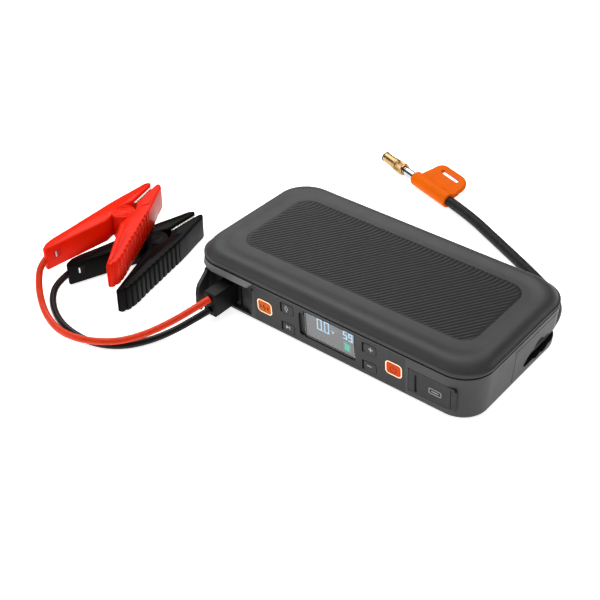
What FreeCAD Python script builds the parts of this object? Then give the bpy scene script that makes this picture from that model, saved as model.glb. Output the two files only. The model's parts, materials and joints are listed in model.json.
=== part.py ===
import FreeCAD, Part
import math
import os

# Jump starter pack with a built-in tyre inflator.  Millimetres, +Z up.
# The origin is the middle of the case's footprint on the floor, +X runs to the hose end and
# the control panel faces -Y.

os.makedirs("parts", exist_ok=True)

V = FreeCAD.Vector
ORIGIN = V(0, 0, 0)
X_AXIS = V(1, 0, 0)
Y_AXIS = V(0, 1, 0)
Z_AXIS = V(0, 0, 1)

# Case
LENGTH = 250.0
WIDTH = 134.0
CORNER_R = 24.0
FLOOR_GAP = 1.2                # the feet hold the case this far off the floor
SEAM_Z = 37.0
SEAM_GAP = 0.7
TOP_Z = 46.0
WALL = 2.4
BASE_R = 2.2
DRAFT_X = 1.4                  # how far each end leans in towards the base
DRAFT_Y = 3.3                  # how far the front and back lean in towards the base
LIP = 1.2
LIP_RISE = 1.5

# Outside of the top shell: how far in from the case's edge each step of it stands, and how high
TOP_PROFILE = [(0.0, 39.4), (0.8, 40.3), (4.0, 42.4), (7.0, 44.2), (9.5, 45.3), (12.5, 45.85), (16.0, 46.0)]
PROFILE_Y = 1.25               # the steps are this much wider along the front and the back

# Grip panel, sunk in a dish in the top
PANEL = (102.0, 40.7, 14.0)    # half length, half width, corner radius
PANEL_Y = 2.3
PANEL_T = 1.2
DISH_MARGIN = 7.0
DISH_DEPTH = 1.6
POST_R = 4.0
SCREW_R = 1.5
SCREW_HOLE_DEPTH = 4.8
SCREW_SPOTS = [(-112, 46), (-112, -46), (108, -46), (104, 46)]
FOOT_SPOTS = [(sx * 95, sy * 39) for sx in (-1, 1) for sy in (-1, 1)]
FOOT_R = 6.0

# Ribs of the grip panel: straight and slanting, curling to run along Y at the back
RIB_PITCH = 3.66
RIB_WIDTH = 1.85
RIB_HEIGHT = 0.9
RIB_SLOPE = 0.62
RIB_CURL_Y = 26.0
RIB_CURL_LENGTH = 17.5
RIB_FLARE_Y = -32.0
RIB_FLARE = 0.0375
RIB_MARGIN = 1.2

# Front face: it leans out by the draft, so its pieces are drawn upright and then tilted
TILT = math.degrees(math.atan(DRAFT_Y / (SEAM_Z - FLOOR_GAP)))
FRONT_Y = -WIDTH / 2 + DRAFT_Y + FLOOR_GAP * math.tan(math.radians(TILT))
FASCIA = (-64.0, 71.0, 3.7, 35.6)
FASCIA_T = 2.2
RIM_T = 5.0
LCD_FRAME = (-17.0, 28.4, 9.9, 34.2)
LCD_RECESS = 1.3
LCD_GLASS = (-16.2, 27.5, 10.9, 33.4)
LCD_GROOVE = (-21.5, -16.9, 10.2, 31.4)
LCD_GROOVE_DEPTH = 1.8
ORANGE_KEYS = {"boost_button": (-53.8, 19.8), "power_button": (61.4, 20.4)}
ORANGE_KEY = (12.2, 10.4)
RING_W = 0.75
SMALL_KEYS = {
    "light_button": (-31.7, 28.2),
    "mode_button": (-31.7, 10.2),
    "plus_button": (41.4, 27.6),
    "minus_button": (41.4, 11.0),
}
SMALL_KEY = (11.2, 9.6)
KEY_GAP = 0.3
KEY_TRAVEL = 0.8
USB_FLAP = (73.4, 110.2, 7.8, 28.2)
FLAP_T = 2.2
FLAP_AXIS_X = 111.0
PORT_Z = 18.0
USB_PORTS = ((86.5, 6.6, 3.0), (100.0, 4.7, 1.8))  # x, half width, half height

# Jump socket, plug and its cover
PLUG_X = -89.3
PLUG_Z = 18.0
PLUG_W = 12.0
PLUG_H = 19.6
PLUG_BACK = -87.0
PLUG_FACE = -61.6
SOCKET_DEPTH = 11.5
SCOOP = [
    (-110, -80), (-110, -57.2), (-82, -59.4), (-77, -60.3), (-73, -61.5), (-69.5, -63.1), (-66.4, -65.1),
    (-63.5, -67.6), (-63.5, -80),
]
SCOOP_Z = (4.6, 30.4)
LIP_BEVEL = [(-69.8, 30.0), (-63.6, 36.0), (-63.6, 30.0)]
COVER_AXIS = (-110.6, -65.6)
COVER_REACH = 25.0
COVER_T = 2.6
COVER_TURN = 25.0              # the open cover leans this far towards the plug

# Hose groove round the right end and along the back
GROOVE_Z = (7.9, 18.1)
GROOVE_DEPTH = 12.3
GROOVE_START_Y = 1.0
GROOVE_END_X = -96.0
LINER = 1.2
GLAND_R = 5.0
AIR_R = 2.0
HOSE_R = 4.5
HOSE_ROUTE = [
    (117.6, 1.0, 13.0), (117.6, 24.0, 13.0), (117.4, 49.0, 13.1), (113.2, 72.0, 12.5), (102.5, 89.5, 9.0),
    (86.5, 103.8, 5.6), (64.6, 117.2, 4.6), (42.0, 129.0, 4.6), (15.6, 142.2, 4.9), (-12.6, 155.0, 6.5),
    (-39.4, 164.2, 6.5),
]

# Chuck at the hose's end
COLLAR_R = 6.5
COLLAR_LEN = 47.0
HOSE_IN = 28.0
STEM_R = 3.9
STEM_LEN = 16.0
NUT_LEN = 15.0
BARREL_LEN = 14.5
TAB_TILT = 28.0

# Jump leads and clamps
LEAD_R = 2.65
RED_ROUTE = [
    (-89.3, -87.0, 23.0), (-92.3, -101.0, 20.5), (-99.0, -118.0, 15.5), (-107.0, -134.0, 11.2),
    (-117.4, -150.4, 9.0), (-130.5, -161.4, 8.6), (-148.5, -167.6, 7.0), (-168.6, -167.0, 4.6),
    (-187.0, -162.0, 7.5), (-200.0, -155.0, 14.0), (-208.3, -147.8, 22.0), (-213.2, -140.2, 28.8),
    (-214.3, -131.0, 31.8),
]
BLACK_ROUTE = [
    (-89.3, -87.0, 13.0), (-95.4, -101.4, 8.0), (-102.3, -117.0, 3.6), (-109.0, -134.5, 2.8),
    (-119.4, -150.0, 2.8), (-135.5, -159.4, 2.8), (-154.0, -161.6, 2.8), (-174.1, -158.6, 2.8),
    (-191.0, -151.0, 3.2), (-203.0, -141.6, 5.4), (-209.4, -130.4, 8.4), (-210.0, -117.5, 10.4),
]
CLAMP_T = 21.0
CLAMPS = {"black": ((-180.5, -50.0, 0.0), 0.0), "red": ((-203.0, -61.4, 21.3), 15.0)}
HUB_R = 9.6
HUB_SLOT_R = 10.1
EAR_T = 3.3
PIN_R = 2.5
PIN_PLAY = 0.05

# Inflator: motor, reduction gear and piston
AXIS_Z = 21.0
MOTOR_Y = -25.0
GEAR_MODULE = 0.65
PINION_TEETH = 15
GEAR_TEETH = 45
GEAR_Y = MOTOR_Y + GEAR_MODULE * (PINION_TEETH + GEAR_TEETH) / 2
GEAR_X = 57.0
GEAR_W = 4.0
CRANK_THROW = 5.0
ROD_X = 67.5
BORE_R = 9.5


def block(x0, x1, y0, y1, z0, z1):
    return Part.makeBox(x1 - x0, y1 - y0, z1 - z0, V(x0, y0, z0))


def disc(radius, start, axis, length):
    return Part.makeCylinder(radius, length, V(*start), axis)


def polygon_prism(points, z0, z1):
    corners = [V(x, y, z0) for x, y in points]
    return Part.Face(Part.makePolygon(corners + corners[:1])).extrude(V(0, 0, z1 - z0))


def rounded_wire(half_x, half_y, radius, z, centre_y=0.0):
    """A rectangle with round corners, centred on x = 0."""
    edges = []
    for quarter in range(4):
        sx = (1, -1, -1, 1)[quarter]
        sy = (1, 1, -1, -1)[quarter]
        centre = V(sx * (half_x - radius), centre_y + sy * (half_y - radius), z)
        corner = Part.makeCircle(radius, centre, Z_AXIS, 90 * quarter, 90 * quarter + 90)
        if edges:
            edges.append(Part.makeLine(edges[-1].Vertexes[-1].Point, corner.Vertexes[0].Point))
        edges.append(corner)
    edges.append(Part.makeLine(edges[-1].Vertexes[-1].Point, edges[0].Vertexes[0].Point))
    return Part.Wire(edges)


def rounded_prism(half_x, half_y, radius, z0, z1, centre_y=0.0):
    return Part.Face(rounded_wire(half_x, half_y, radius, z0, centre_y)).extrude(V(0, 0, z1 - z0))


def case_body(inset, z0, z1):
    """The lower case's drafted outline, moved in by inset."""
    sections = []
    for z in (z0, z1):
        lean = (SEAM_Z - z) / (SEAM_Z - FLOOR_GAP)
        half_x = LENGTH / 2 - inset - DRAFT_X * lean
        half_y = WIDTH / 2 - inset - DRAFT_Y * lean
        sections.append(rounded_wire(half_x, half_y, CORNER_R - inset - DRAFT_Y * lean, z))
    return Part.makeLoft(sections, True, True)


def front_plate(x0, x1, z0, z1, outer, inner, radius=0.0):
    """An upright plate on the front face, from outer to inner millimetres behind it."""
    plate = block(x0, x1, FRONT_Y + outer, FRONT_Y + inner, z0, z1)
    if radius:
        along_y = [e for e in plate.Edges if abs(e.tangentAt(e.FirstParameter).y) > 0.99]
        plate = plate.makeFillet(radius, along_y)
    return plate


def tilted(shape):
    """Leans an upright front piece out to lie along the front face."""
    leaning = shape.copy()
    leaning.rotate(V(0, FRONT_Y, 0), X_AXIS, TILT)
    return leaning


def flat_edges(shape, z, tolerance=0.01):
    return [e for e in shape.Edges if all(abs(v.Point.z - z) < tolerance for v in e.Vertexes)]


def fuse(shapes):
    first, *rest = shapes
    return first.fuse(rest).removeSplitter()


def smooth_path(points, name):
    """Straight runs joined by tangent arcs, each as large as its two runs allow."""
    stops = [V(*p) for p in points]
    edges = []
    radii = []
    here = stops[0]
    for before, corner, after in zip(stops, stops[1:], stops[2:]):
        run_in = corner - before
        run_out = after - corner
        half_turn = run_in.getAngle(run_out) / 2
        reach = 0.45 * min(run_in.Length, run_out.Length)
        radii.append(reach / math.tan(half_turn))
        start = corner - run_in.normalize() * reach
        end = corner + run_out.normalize() * reach
        bulge = (start + end - corner * 2).normalize()
        middle = corner + bulge * (radii[-1] / math.cos(half_turn) - radii[-1])
        edges.append(Part.LineSegment(here, start).toShape())
        edges.append(Part.Arc(start, middle, end).toShape())
        here = end
    edges.append(Part.LineSegment(here, stops[-1]).toShape())
    path = Part.Wire(edges)
    print(name, "length %.1f" % path.Length, "radii", [round(r) for r in radii])
    return path


def tube(points, radius, name):
    path = smooth_path(points, name)
    start = V(*points[0])
    section = Part.Wire(Part.makeCircle(radius, start, V(*points[1]) - start))
    solid = path.makePipeShell([section], True, True)
    print(name, "volume ratio %.4f" % (solid.Volume / (math.pi * radius ** 2 * path.Length)))
    return solid


def grown(outline, margin):
    return [size + margin for size in outline]


def top_outside():
    """The domed outside of the top shell, from the seam up."""
    steps = [(0.0, SEAM_Z + SEAM_GAP / 2)] + TOP_PROFILE
    sections = []
    for inset, z in steps:
        half_x = LENGTH / 2 - inset
        half_y = WIDTH / 2 - inset * PROFILE_Y
        sections.append(rounded_wire(half_x, half_y, CORNER_R, z))
    return Part.makeLoft(sections, True, True)


def dish():
    """The hollow in the top: sloping sides down to the pocket that holds the grip panel."""
    floor_z = TOP_Z - DISH_DEPTH
    sections = [rounded_wire(*PANEL, floor_z, PANEL_Y)]
    for rise in (1.0, 1.25):
        outline = grown(PANEL, DISH_MARGIN * rise)
        sections.append(rounded_wire(*outline, floor_z + DISH_DEPTH * rise, PANEL_Y))
    pocket = rounded_prism(*PANEL, floor_z - PANEL_T, floor_z, PANEL_Y)
    return Part.makeLoft(sections, True, True).fuse(pocket)


def top_shell():
    base = SEAM_Z + SEAM_GAP / 2
    shell = top_outside().cut(dish())
    under_skirt = TOP_PROFILE[0][1] - 1.2
    under_panel = TOP_Z - DISH_DEPTH - PANEL_T - 1.5
    inner = (LENGTH / 2 - WALL, WIDTH / 2 - WALL, CORNER_R - WALL)
    shell = shell.cut(rounded_prism(*inner, base - 1, under_skirt))
    shell = shell.cut(rounded_prism(*grown(inner, -7.0), base, under_panel))
    shell = shell.cut(rounded_prism(*grown(inner, LIP + 0.1), base - 1, SEAM_Z + LIP_RISE + 0.2))
    bosses = []
    for x, y in SCREW_SPOTS:
        bosses.append(disc(POST_R, (x, y, base + 0.05), Z_AXIS, under_panel + 0.8 - base))
    shell = fuse([shell] + bosses)
    for x, y in SCREW_SPOTS:
        shell = shell.cut(disc(SCREW_R, (x, y, base - 0.5), Z_AXIS, SCREW_HOLE_DEPTH))
    return shell


def rib_x(start, y):
    """Where a rib that starts at x = start on the middle line has got to at y."""
    x = start + RIB_SLOPE * y
    if y > RIB_CURL_Y:
        x -= RIB_SLOPE * (y - RIB_CURL_Y) ** 2 / (2 * RIB_CURL_LENGTH)
    if y < RIB_FLARE_Y:
        x -= RIB_FLARE * (y - RIB_FLARE_Y) ** 2
    return x


def rib_edge(start, z):
    """One long edge of a rib: flared front end, straight middle, curled back end."""
    ends = (-42.0, RIB_FLARE_Y, RIB_CURL_Y, RIB_CURL_Y + RIB_CURL_LENGTH)
    edges = []
    for low, high in zip(ends, ends[1:]):
        stops = [V(rib_x(start, y), y, z) for y in (low, (low + high) / 2, high)]
        if low == RIB_FLARE_Y:
            edges.append(Part.makeLine(stops[0], stops[-1]))
        else:
            edges.append(Part.Arc(*stops).toShape())
    return edges


def grip_panel():
    plate_z = TOP_Z - DISH_DEPTH
    plate = rounded_prism(*PANEL, plate_z - PANEL_T, plate_z, PANEL_Y)
    border = rounded_prism(*grown(PANEL, -RIB_MARGIN), plate_z, plate_z + RIB_HEIGHT, PANEL_Y)
    reach = int((PANEL[0] + PANEL[1] * RIB_SLOPE) / RIB_PITCH) + 1
    ribs = []
    for index in range(-reach, reach + 1):
        left = rib_edge(index * RIB_PITCH, plate_z)
        right = rib_edge(index * RIB_PITCH + RIB_WIDTH, plate_z)
        front = Part.makeLine(left[0].Vertexes[0].Point, right[0].Vertexes[0].Point)
        back = Part.makeLine(left[-1].Vertexes[-1].Point, right[-1].Vertexes[-1].Point)
        outline = Part.Wire(Part.__sortEdges__(left + right + [front, back]))
        rib = Part.Face(outline).extrude(V(0, 0, RIB_HEIGHT)).common(border)
        if rib.Volume > 1:
            ribs.append(rib)
    return plate.fuse(ribs)


def groove_region(depth, z0, z1, start_y, end_x):
    """The stretch of the groove's plan that runs from the right end round to the back."""
    outer = rounded_prism(LENGTH / 2 + 1, WIDTH / 2 + 1, CORNER_R + 1, z0, z1)
    kept = rounded_prism(LENGTH / 2 - depth, WIDTH / 2 - depth, CORNER_R - depth, z0, z1)
    right = block(LENGTH / 2 - depth, LENGTH, start_y, WIDTH, z0, z1)
    back = block(end_x, LENGTH, WIDTH / 2 - depth - CORNER_R, WIDTH, z0, z1)
    return outer.cut(kept).common(right.fuse(back))


def notch_hollows():
    """Finger room above and below the hose where it lies in the right end."""
    upper = disc(8.5, (117.4, 24, 14.5), X_AXIS, 12)
    lower = disc(7.5, (117.4, 34, 12.9), X_AXIS, 12)
    return upper.fuse(lower)


def hose_channel():
    low, high = GROOVE_Z
    envelope = groove_region(GROOVE_DEPTH + LINER, low - LINER, high + LINER,
                             GROOVE_START_Y - 1.5, GROOVE_END_X - LINER)
    pad = block(LENGTH / 2 - GROOVE_DEPTH - LINER, LENGTH, 12, 45, 4.2, 24.6)
    envelope = envelope.fuse(pad).common(case_body(0.5, FLOOR_GAP, SEAM_Z))
    hollow = groove_region(GROOVE_DEPTH, low, high, GROOVE_START_Y, GROOVE_END_X).cut(slot_tip())
    return envelope.removeSplitter(), hollow.fuse(notch_hollows())


def slot_tip():
    """The two wedges of wall that bring the slot in the right end to a point at its front."""
    low, high = GROOVE_Z
    corners = [(GROOVE_START_Y - 1, low), (7.0, low), (3.2, 11.0), (12.0, high), (GROOVE_START_Y - 1, high)]
    points = [V(LENGTH / 2 - WALL, y, z) for y, z in corners]
    return Part.Face(Part.makePolygon(points + points[:1])).extrude(V(WALL + 1, 0, 0))


def end_line():
    """A fine parting line that frames the right end."""
    upright = block(LENGTH / 2 - 4, LENGTH, -11.6, -10.9, 5.4, 33.0)
    along = block(LENGTH / 2 - 30, LENGTH, -11.6, WIDTH, 32.4, 33.0)
    return upright.fuse(along).cut(case_body(0.4, 0, SEAM_Z)).common(block(60, LENGTH, -20, WIDTH, 0, 40))


def lip_bevel():
    """The slanting end of the lip over the jump socket, beside the control panel."""
    corners = [V(x, -WIDTH, z) for x, z in LIP_BEVEL]
    face = Part.Face(Part.makePolygon(corners + corners[:1]))
    return face.extrude(V(0, WIDTH / 2 + FASCIA_T, 0))


def bottom_shell(liner_envelope, hollow):
    base = FLOOR_GAP
    rim = SEAM_Z - SEAM_GAP / 2
    outer = case_body(0, base, rim)
    outer = outer.makeFillet(BASE_R, flat_edges(outer, base))
    shell = outer.cut(case_body(WALL, base + WALL, rim + 1))
    lip_x = LENGTH / 2 - WALL + LIP
    lip_y = WIDTH / 2 - WALL + LIP
    lip = rounded_prism(lip_x, lip_y, CORNER_R - WALL + LIP, rim - 3, SEAM_Z + LIP_RISE)
    inner_lip = (lip_x - LIP - 0.3, lip_y - LIP - 0.3, CORNER_R - WALL - 0.3)
    lip = lip.cut(rounded_prism(*inner_lip, rim - 4, SEAM_Z + 2))
    x0, x1, z0, z1 = FASCIA
    rim_plate = tilted(front_plate(x0 - 2, x1 + 42, 3.4, rim - 1, 1.0, RIM_T))
    scoop_back = block(-114, -62, -66, -55.4, base + 2, rim - 1)
    torch_ring = disc(11.0, (-124.5, 0, AXIS_Z), X_AXIS, 5.0)
    extras = fuse([rim_plate, scoop_back, torch_ring]).common(outer)
    posts = [disc(POST_R, (x, y, base + 1.5), Z_AXIS, SEAM_Z - 1.75 - base) for x, y in SCREW_SPOTS]
    shell = fuse([shell, extras] + [lip] + posts)
    shell = shell.cut(polygon_prism(SCOOP, *SCOOP_Z)).cut(lip_bevel())
    shell = shell.cut(tilted(front_plate(x0, x1, z0, z1, -3, FASCIA_T, 2.0)))
    shell = shell.cut(tilted(front_plate(x0 + 2, x1 - 2, z0 + 0.6, z1 - 1.2, 1.0, RIM_T + 1)))
    fx0, fx1, fz0, fz1 = USB_FLAP
    flap_room = front_plate(fx0 - 0.3, fx1 + 0.4, fz0 - 0.3, fz1 + 0.3, -3, FLAP_T + 0.5)
    port_room = front_plate(78.5, 106.5, PORT_Z - 4.6, PORT_Z + 4.6, 1.0, RIM_T + 1)
    shell = shell.cut(tilted(flap_room)).cut(tilted(port_room))
    knuckle = disc(1.35, (FLAP_AXIS_X, FRONT_Y + 0.2, fz0 - 0.3), Z_AXIS, fz1 - fz0 + 0.6)
    shell = shell.cut(tilted(knuckle))
    shell = shell.cut(block(PLUG_X - 8.5, PLUG_X + 8.5, -64, -50, PLUG_Z - 12.6, PLUG_Z + 12.6))
    cover_knuckle = disc(2.3, (*COVER_AXIS, SCOOP_Z[0]), Z_AXIS, SCOOP_Z[1] - SCOOP_Z[0])
    shell = shell.cut(cover_knuckle)
    shell = shell.cut(disc(8.3, (-127, 0, AXIS_Z), X_AXIS, 12))
    shell = shell.cut(liner_envelope).cut(hollow).cut(end_line())
    for x, y in SCREW_SPOTS:
        shell = shell.cut(disc(SCREW_R, (x, y, 0), Z_AXIS, SEAM_Z + 4))
        shell = shell.cut(disc(3.0, (x, y, 0), Z_AXIS, base + 1.6))
    for x, y in FOOT_SPOTS:
        shell = shell.cut(disc(FOOT_R, (x, y, 0), Z_AXIS, base + 0.8))
    return shell


def key_outline(centre, size, outer, inner, grow=0.0, radius=2.4):
    x, z = centre
    half_x = size[0] / 2 + grow
    half_z = size[1] / 2 + grow
    return front_plate(x - half_x, x + half_x, z - half_z, z + half_z, outer, inner, radius + grow)


def control_fascia():
    plate = front_plate(*FASCIA, 0, FASCIA_T, 2.0)
    plate = plate.cut(front_plate(*LCD_FRAME, -1, LCD_RECESS, 0.8))
    plate = plate.cut(front_plate(*LCD_GROOVE, -1, LCD_GROOVE_DEPTH, 2.2))
    plate = plate.cut(front_plate(*LCD_GLASS, -1, FASCIA_T + 1))
    for centre in ORANGE_KEYS.values():
        plate = plate.cut(key_outline(centre, ORANGE_KEY, -1, 1.2, RING_W))
        plate = plate.cut(key_outline(centre, ORANGE_KEY, -1, 4))
    for x, z in SMALL_KEYS.values():
        plate = plate.cut(key_outline((x, z), SMALL_KEY, -1, 4))
        left = x - SMALL_KEY[0] / 2
        plate = plate.cut(front_plate(left - 1.3, left + 2, z - 4.4, z + 4.4, -1, 1.5))
    return tilted(plate)


def light_rings():
    rings = []
    for centre in ORANGE_KEYS.values():
        ring = key_outline(centre, ORANGE_KEY, -0.3, 1.2, RING_W)
        rings.append(tilted(ring.cut(key_outline(centre, ORANGE_KEY, -1, 2))))
    return Part.makeCompound(rings)


def push_key(centre, size, proud):
    """A cap that stands a little proud, its retaining flange and the stem that works the switch."""
    x, z = centre
    cap = key_outline(centre, size, -proud, FASCIA_T + 0.4, -KEY_GAP)
    front = [e for e in cap.Edges if all(abs(v.Point.y - FRONT_Y + proud) < 0.01 for v in e.Vertexes)]
    cap = cap.makeFillet(0.35, front)
    flange = key_outline(centre, size, FASCIA_T + 0.3, FASCIA_T + 1.2, 0.5)
    stem = disc(1.5, (x, FRONT_Y + FASCIA_T + 1.1, z), Y_AXIS, 1.9)
    return tilted(fuse([cap, flange, stem]))


def button_switches():
    switches = []
    for x, z in list(ORANGE_KEYS.values()) + list(SMALL_KEYS.values()):
        y = FRONT_Y + FASCIA_T + 1.1 + 1.9 + KEY_TRAVEL + 0.2
        plunger = disc(1.7, (x, y, z), Y_AXIS, 1.0)
        can = block(x - 3, x + 3, y + 0.9, FRONT_Y + 8.4, z - 3, z + 3)
        switches.append(tilted(plunger.fuse(can)))
    return Part.makeCompound(switches)


def usb_flap():
    x0, x1, z0, z1 = USB_FLAP
    plate = front_plate(x0, x1, z0, z1, 0, FLAP_T, 1.2)
    knuckle = disc(1.0, (FLAP_AXIS_X, FRONT_Y + 0.2, z0 + 1.2), Z_AXIS, z1 - z0 - 2.4)
    web = block(x1 - 1, FLAP_AXIS_X, FRONT_Y, FRONT_Y + 0.8, z0 + 1.2, z1 - 1.2)
    pull = front_plate(x0 + 5.0, x0 + 7.0, z0 + 1.4, z1 - 3.6, -1, 1.3)
    fold = front_plate(x1 - 3.2, x1 - 2.6, z0, z1 - 1.6, -1, 0.5)
    return tilted(fuse([plate, knuckle, web]).cut(pull).cut(fold))


def usb_ports():
    ports = []
    y0 = FRONT_Y + FLAP_T + 0.6
    for x, half_x, half_z in USB_PORTS:
        shell = block(x - half_x, x + half_x, y0, y0 + 9, PORT_Z - half_z, PORT_Z + half_z)
        inner_x = half_x - 0.4
        inner_z = half_z - 0.4
        room = block(x - inner_x, x + inner_x, y0 - 1, y0 + 8, PORT_Z - inner_z, PORT_Z + inner_z)
        ports.append(tilted(shell.cut(room)))
    return Part.makeCompound(ports)


def jump_socket():
    half_x = PLUG_W / 2 + 2.4
    half_z = PLUG_H / 2 + 2.4
    housing = block(PLUG_X - half_x, PLUG_X + half_x, PLUG_FACE + 0.3, PLUG_FACE + SOCKET_DEPTH + 4,
                    PLUG_Z - half_z, PLUG_Z + half_z)
    room_x = PLUG_W / 2 - 0.6
    room_z = PLUG_H / 2 - 0.6
    room = block(PLUG_X - room_x, PLUG_X + room_x, PLUG_FACE - 2, PLUG_FACE + SOCKET_DEPTH + 0.3,
                 PLUG_Z - room_z, PLUG_Z + room_z)
    for pin_z in (-5, 5):
        hole = disc(1.8, (PLUG_X, PLUG_FACE, PLUG_Z + pin_z), Y_AXIS, SOCKET_DEPTH + 6)
        room = room.fuse(hole)
    return housing.cut(room)


def socket_contacts():
    pins = []
    for pin_z in (-5, 5):
        pins.append(disc(1.8, (PLUG_X, PLUG_FACE + 3.5, PLUG_Z + pin_z), Y_AXIS, SOCKET_DEPTH + 5))
    return Part.makeCompound(pins)


def plug_housing():
    half_x = PLUG_W / 2
    half_z = PLUG_H / 2
    grip = block(PLUG_X - half_x, PLUG_X + half_x, PLUG_BACK, PLUG_FACE,
                 PLUG_Z - half_z, PLUG_Z + half_z)
    grip = grip.makeFillet(1.2, grip.Edges)
    nose = block(PLUG_X - half_x + 0.9, PLUG_X + half_x - 0.9, PLUG_FACE - 2, PLUG_FACE + SOCKET_DEPTH - 0.5,
                 PLUG_Z - half_z + 0.9, PLUG_Z + half_z - 0.9)
    plug = fuse([grip, nose])
    for pin_z in (-5, 5):
        plug = plug.cut(disc(3.0, (PLUG_X, PLUG_BACK + 8, PLUG_Z + pin_z), Y_AXIS, 40))
        plug = plug.cut(disc(LEAD_R, (PLUG_X, PLUG_BACK - 1, PLUG_Z + pin_z), Y_AXIS, 2.5))
    return plug


def plug_pins():
    pins = []
    for pin_z in (-5, 5):
        start = (PLUG_X, PLUG_BACK + 8, PLUG_Z + pin_z)
        sleeve = disc(3.0, start, Y_AXIS, PLUG_FACE + SOCKET_DEPTH - 1.5 - PLUG_BACK - 8)
        bore = disc(2.1, (start[0], start[1] + 12, start[2]), Y_AXIS, 40)
        pins.append(sleeve.cut(bore))
    return Part.makeCompound(pins)


def socket_cover():
    x, y = COVER_AXIS
    z0 = SCOOP_Z[0] + 0.6
    z1 = SCOOP_Z[1] - 0.6
    half = COVER_T / 2
    leaf = block(x - half, x + half, y - COVER_REACH, y, z0 + 0.4, z1 - 0.4)
    tip = [e for e in leaf.Edges if e.BoundBox.YMax < y - COVER_REACH + 0.1 and e.BoundBox.XLength > 1]
    leaf = leaf.makeFillet(7.0, tip)
    knuckle = disc(1.9, (x, y, z0), Z_AXIS, z1 - z0)
    cover = fuse([leaf, knuckle])
    cover.rotate(V(x, y, 0), Z_AXIS, COVER_TURN)
    return cover


def clamp_frame(shape, side):
    (x, y, z), turn = CLAMPS[side]
    placed = shape.copy()
    placed.rotate(ORIGIN, Z_AXIS, turn)
    placed.translate(V(x, y, z))
    return placed


HANDLE_OUTLINE = [
    (2.2, 47.5), (4.6, 50.2), (8.2, 46.5), (11.8, 32.5), (15.4, 20.0), (18.6, 7.0), (21.6, -8.0),
    (24.6, -22.0), (27.6, -37.0), (31.4, -53.0), (32.2, -62.0), (30.0, -69.0), (26.6, -70.2),
    (16.4, -43.0), (6.2, -16.2), (6.2, 9.0), (2.2, 17.5),
]


def handle_bar(mirror, z0, z1):
    """One side of a clamp: jaw arm in front of the pivot and handle behind it."""
    bar = polygon_prism([(mirror * x, y) for x, y in HANDLE_OUTLINE], z0, z1)
    grooves = []
    for index in range(9):
        y = -22 - 4.4 * index
        x = 24.6 + (-22 - y) * 0.215
        grooves.append(block(x - 0.7, x + 4, y - 0.7, y + 0.7, z0 + 3, z1 - 3))
    cuts = Part.makeCompound(grooves)
    if mirror < 0:
        cuts = cuts.mirror(ORIGIN, X_AXIS)
    long_edges = [e for e in bar.Edges if abs(e.tangentAt(e.FirstParameter).z) < 0.01]
    outside = [e for e in long_edges if mirror * e.CenterOfMass.x > 9 and e.CenterOfMass.y < 30
               and mirror * e.CenterOfMass.x > 19 - 0.2 * e.CenterOfMass.y - 7]
    return bar.makeFillet(1.6, outside).cut(cuts)


def fixed_handle():
    """The handle that carries the lead, with the hub's inner boss."""
    bar = handle_bar(-1, 0.8, CLAMP_T - 0.8)
    low = EAR_T + 0.3
    high = CLAMP_T - EAR_T - 0.3
    bar = bar.cut(disc(HUB_SLOT_R, (0, 0, -1), Z_AXIS, low + 1))
    bar = bar.cut(disc(HUB_SLOT_R, (0, 0, high), Z_AXIS, 10))
    bar = fuse([bar, disc(HUB_R, (0, 0, low), Z_AXIS, high - low)])
    bar = bar.cut(disc(7.2, (0, 0, low + 3), Z_AXIS, high - low - 6))
    bar = bar.cut(disc(PIN_R, (0, 0, 0), Z_AXIS, CLAMP_T))
    window = block(-27.6, -24.6, -62, -56, 6, 15)
    return bar.cut(window)


def moving_handle():
    bar = handle_bar(1, 0, CLAMP_T)
    bar = bar.cut(disc(HUB_SLOT_R, (0, 0, EAR_T), Z_AXIS, CLAMP_T - 2 * EAR_T))
    ears = []
    for z in (0, CLAMP_T - EAR_T):
        ear = disc(HUB_R, (0, 0, z), Z_AXIS, EAR_T)
        ears.append(ear)
    bar = fuse([bar] + ears)
    bar = bar.cut(disc(PIN_R + PIN_PLAY, (0, 0, -1), Z_AXIS, CLAMP_T + 2))
    corners = [(17.0, -24.0), (18.4, -24.0), (28.2, -60.0), (26.8, -60.0)]
    return bar.cut(polygon_prism(corners, CLAMP_T - 0.8, CLAMP_T + 1))


def jaw_plate(mirror):
    """The toothed contact strip along a jaw's inner edge."""
    face = 1.0
    points = [(2.2, 46.5), (2.2, 19.0), (face, 19.0)]
    teeth = 9
    pitch = (46.0 - 20.0) / teeth
    for index in range(teeth):
        y = 20.0 + index * pitch
        points.append((face, y))
        points.append((0.3, y + pitch / 2))
    points.append((face, 46.0))
    return polygon_prism([(mirror * x, y) for x, y in points], 3.0, CLAMP_T - 3.0)


def clamp_spring():
    """The torsion coil round the pivot pin, between the boss's two cheeks."""
    low = EAR_T + 3.3 + 1.0
    coil = Part.makeHelix(1.9, CLAMP_T - 2 * low, 5.2)
    section = Part.Wire(Part.makeCircle(0.8, V(5.2, 0, 0), Y_AXIS))
    spring = Part.Wire(coil).makePipeShell([section], True, False)
    spring.translate(V(0, 0, low))
    return spring


def crimp_screw():
    head = disc(2.6, (-26.2, -59, 15), V(0, 0, -1), 9)
    return head.common(block(-27.6, -24.6, -62, -56, 6, 15))


def hose_fitting_frame(shape):
    """Moves a piece drawn along +X from the hose's end to its place."""
    last = V(*HOSE_ROUTE[-1])
    heading = last - V(*HOSE_ROUTE[-2])
    placed = shape.copy()
    placed.rotate(ORIGIN, Z_AXIS, math.degrees(math.atan2(heading.y, heading.x)))
    placed.translate(last)
    return placed


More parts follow.
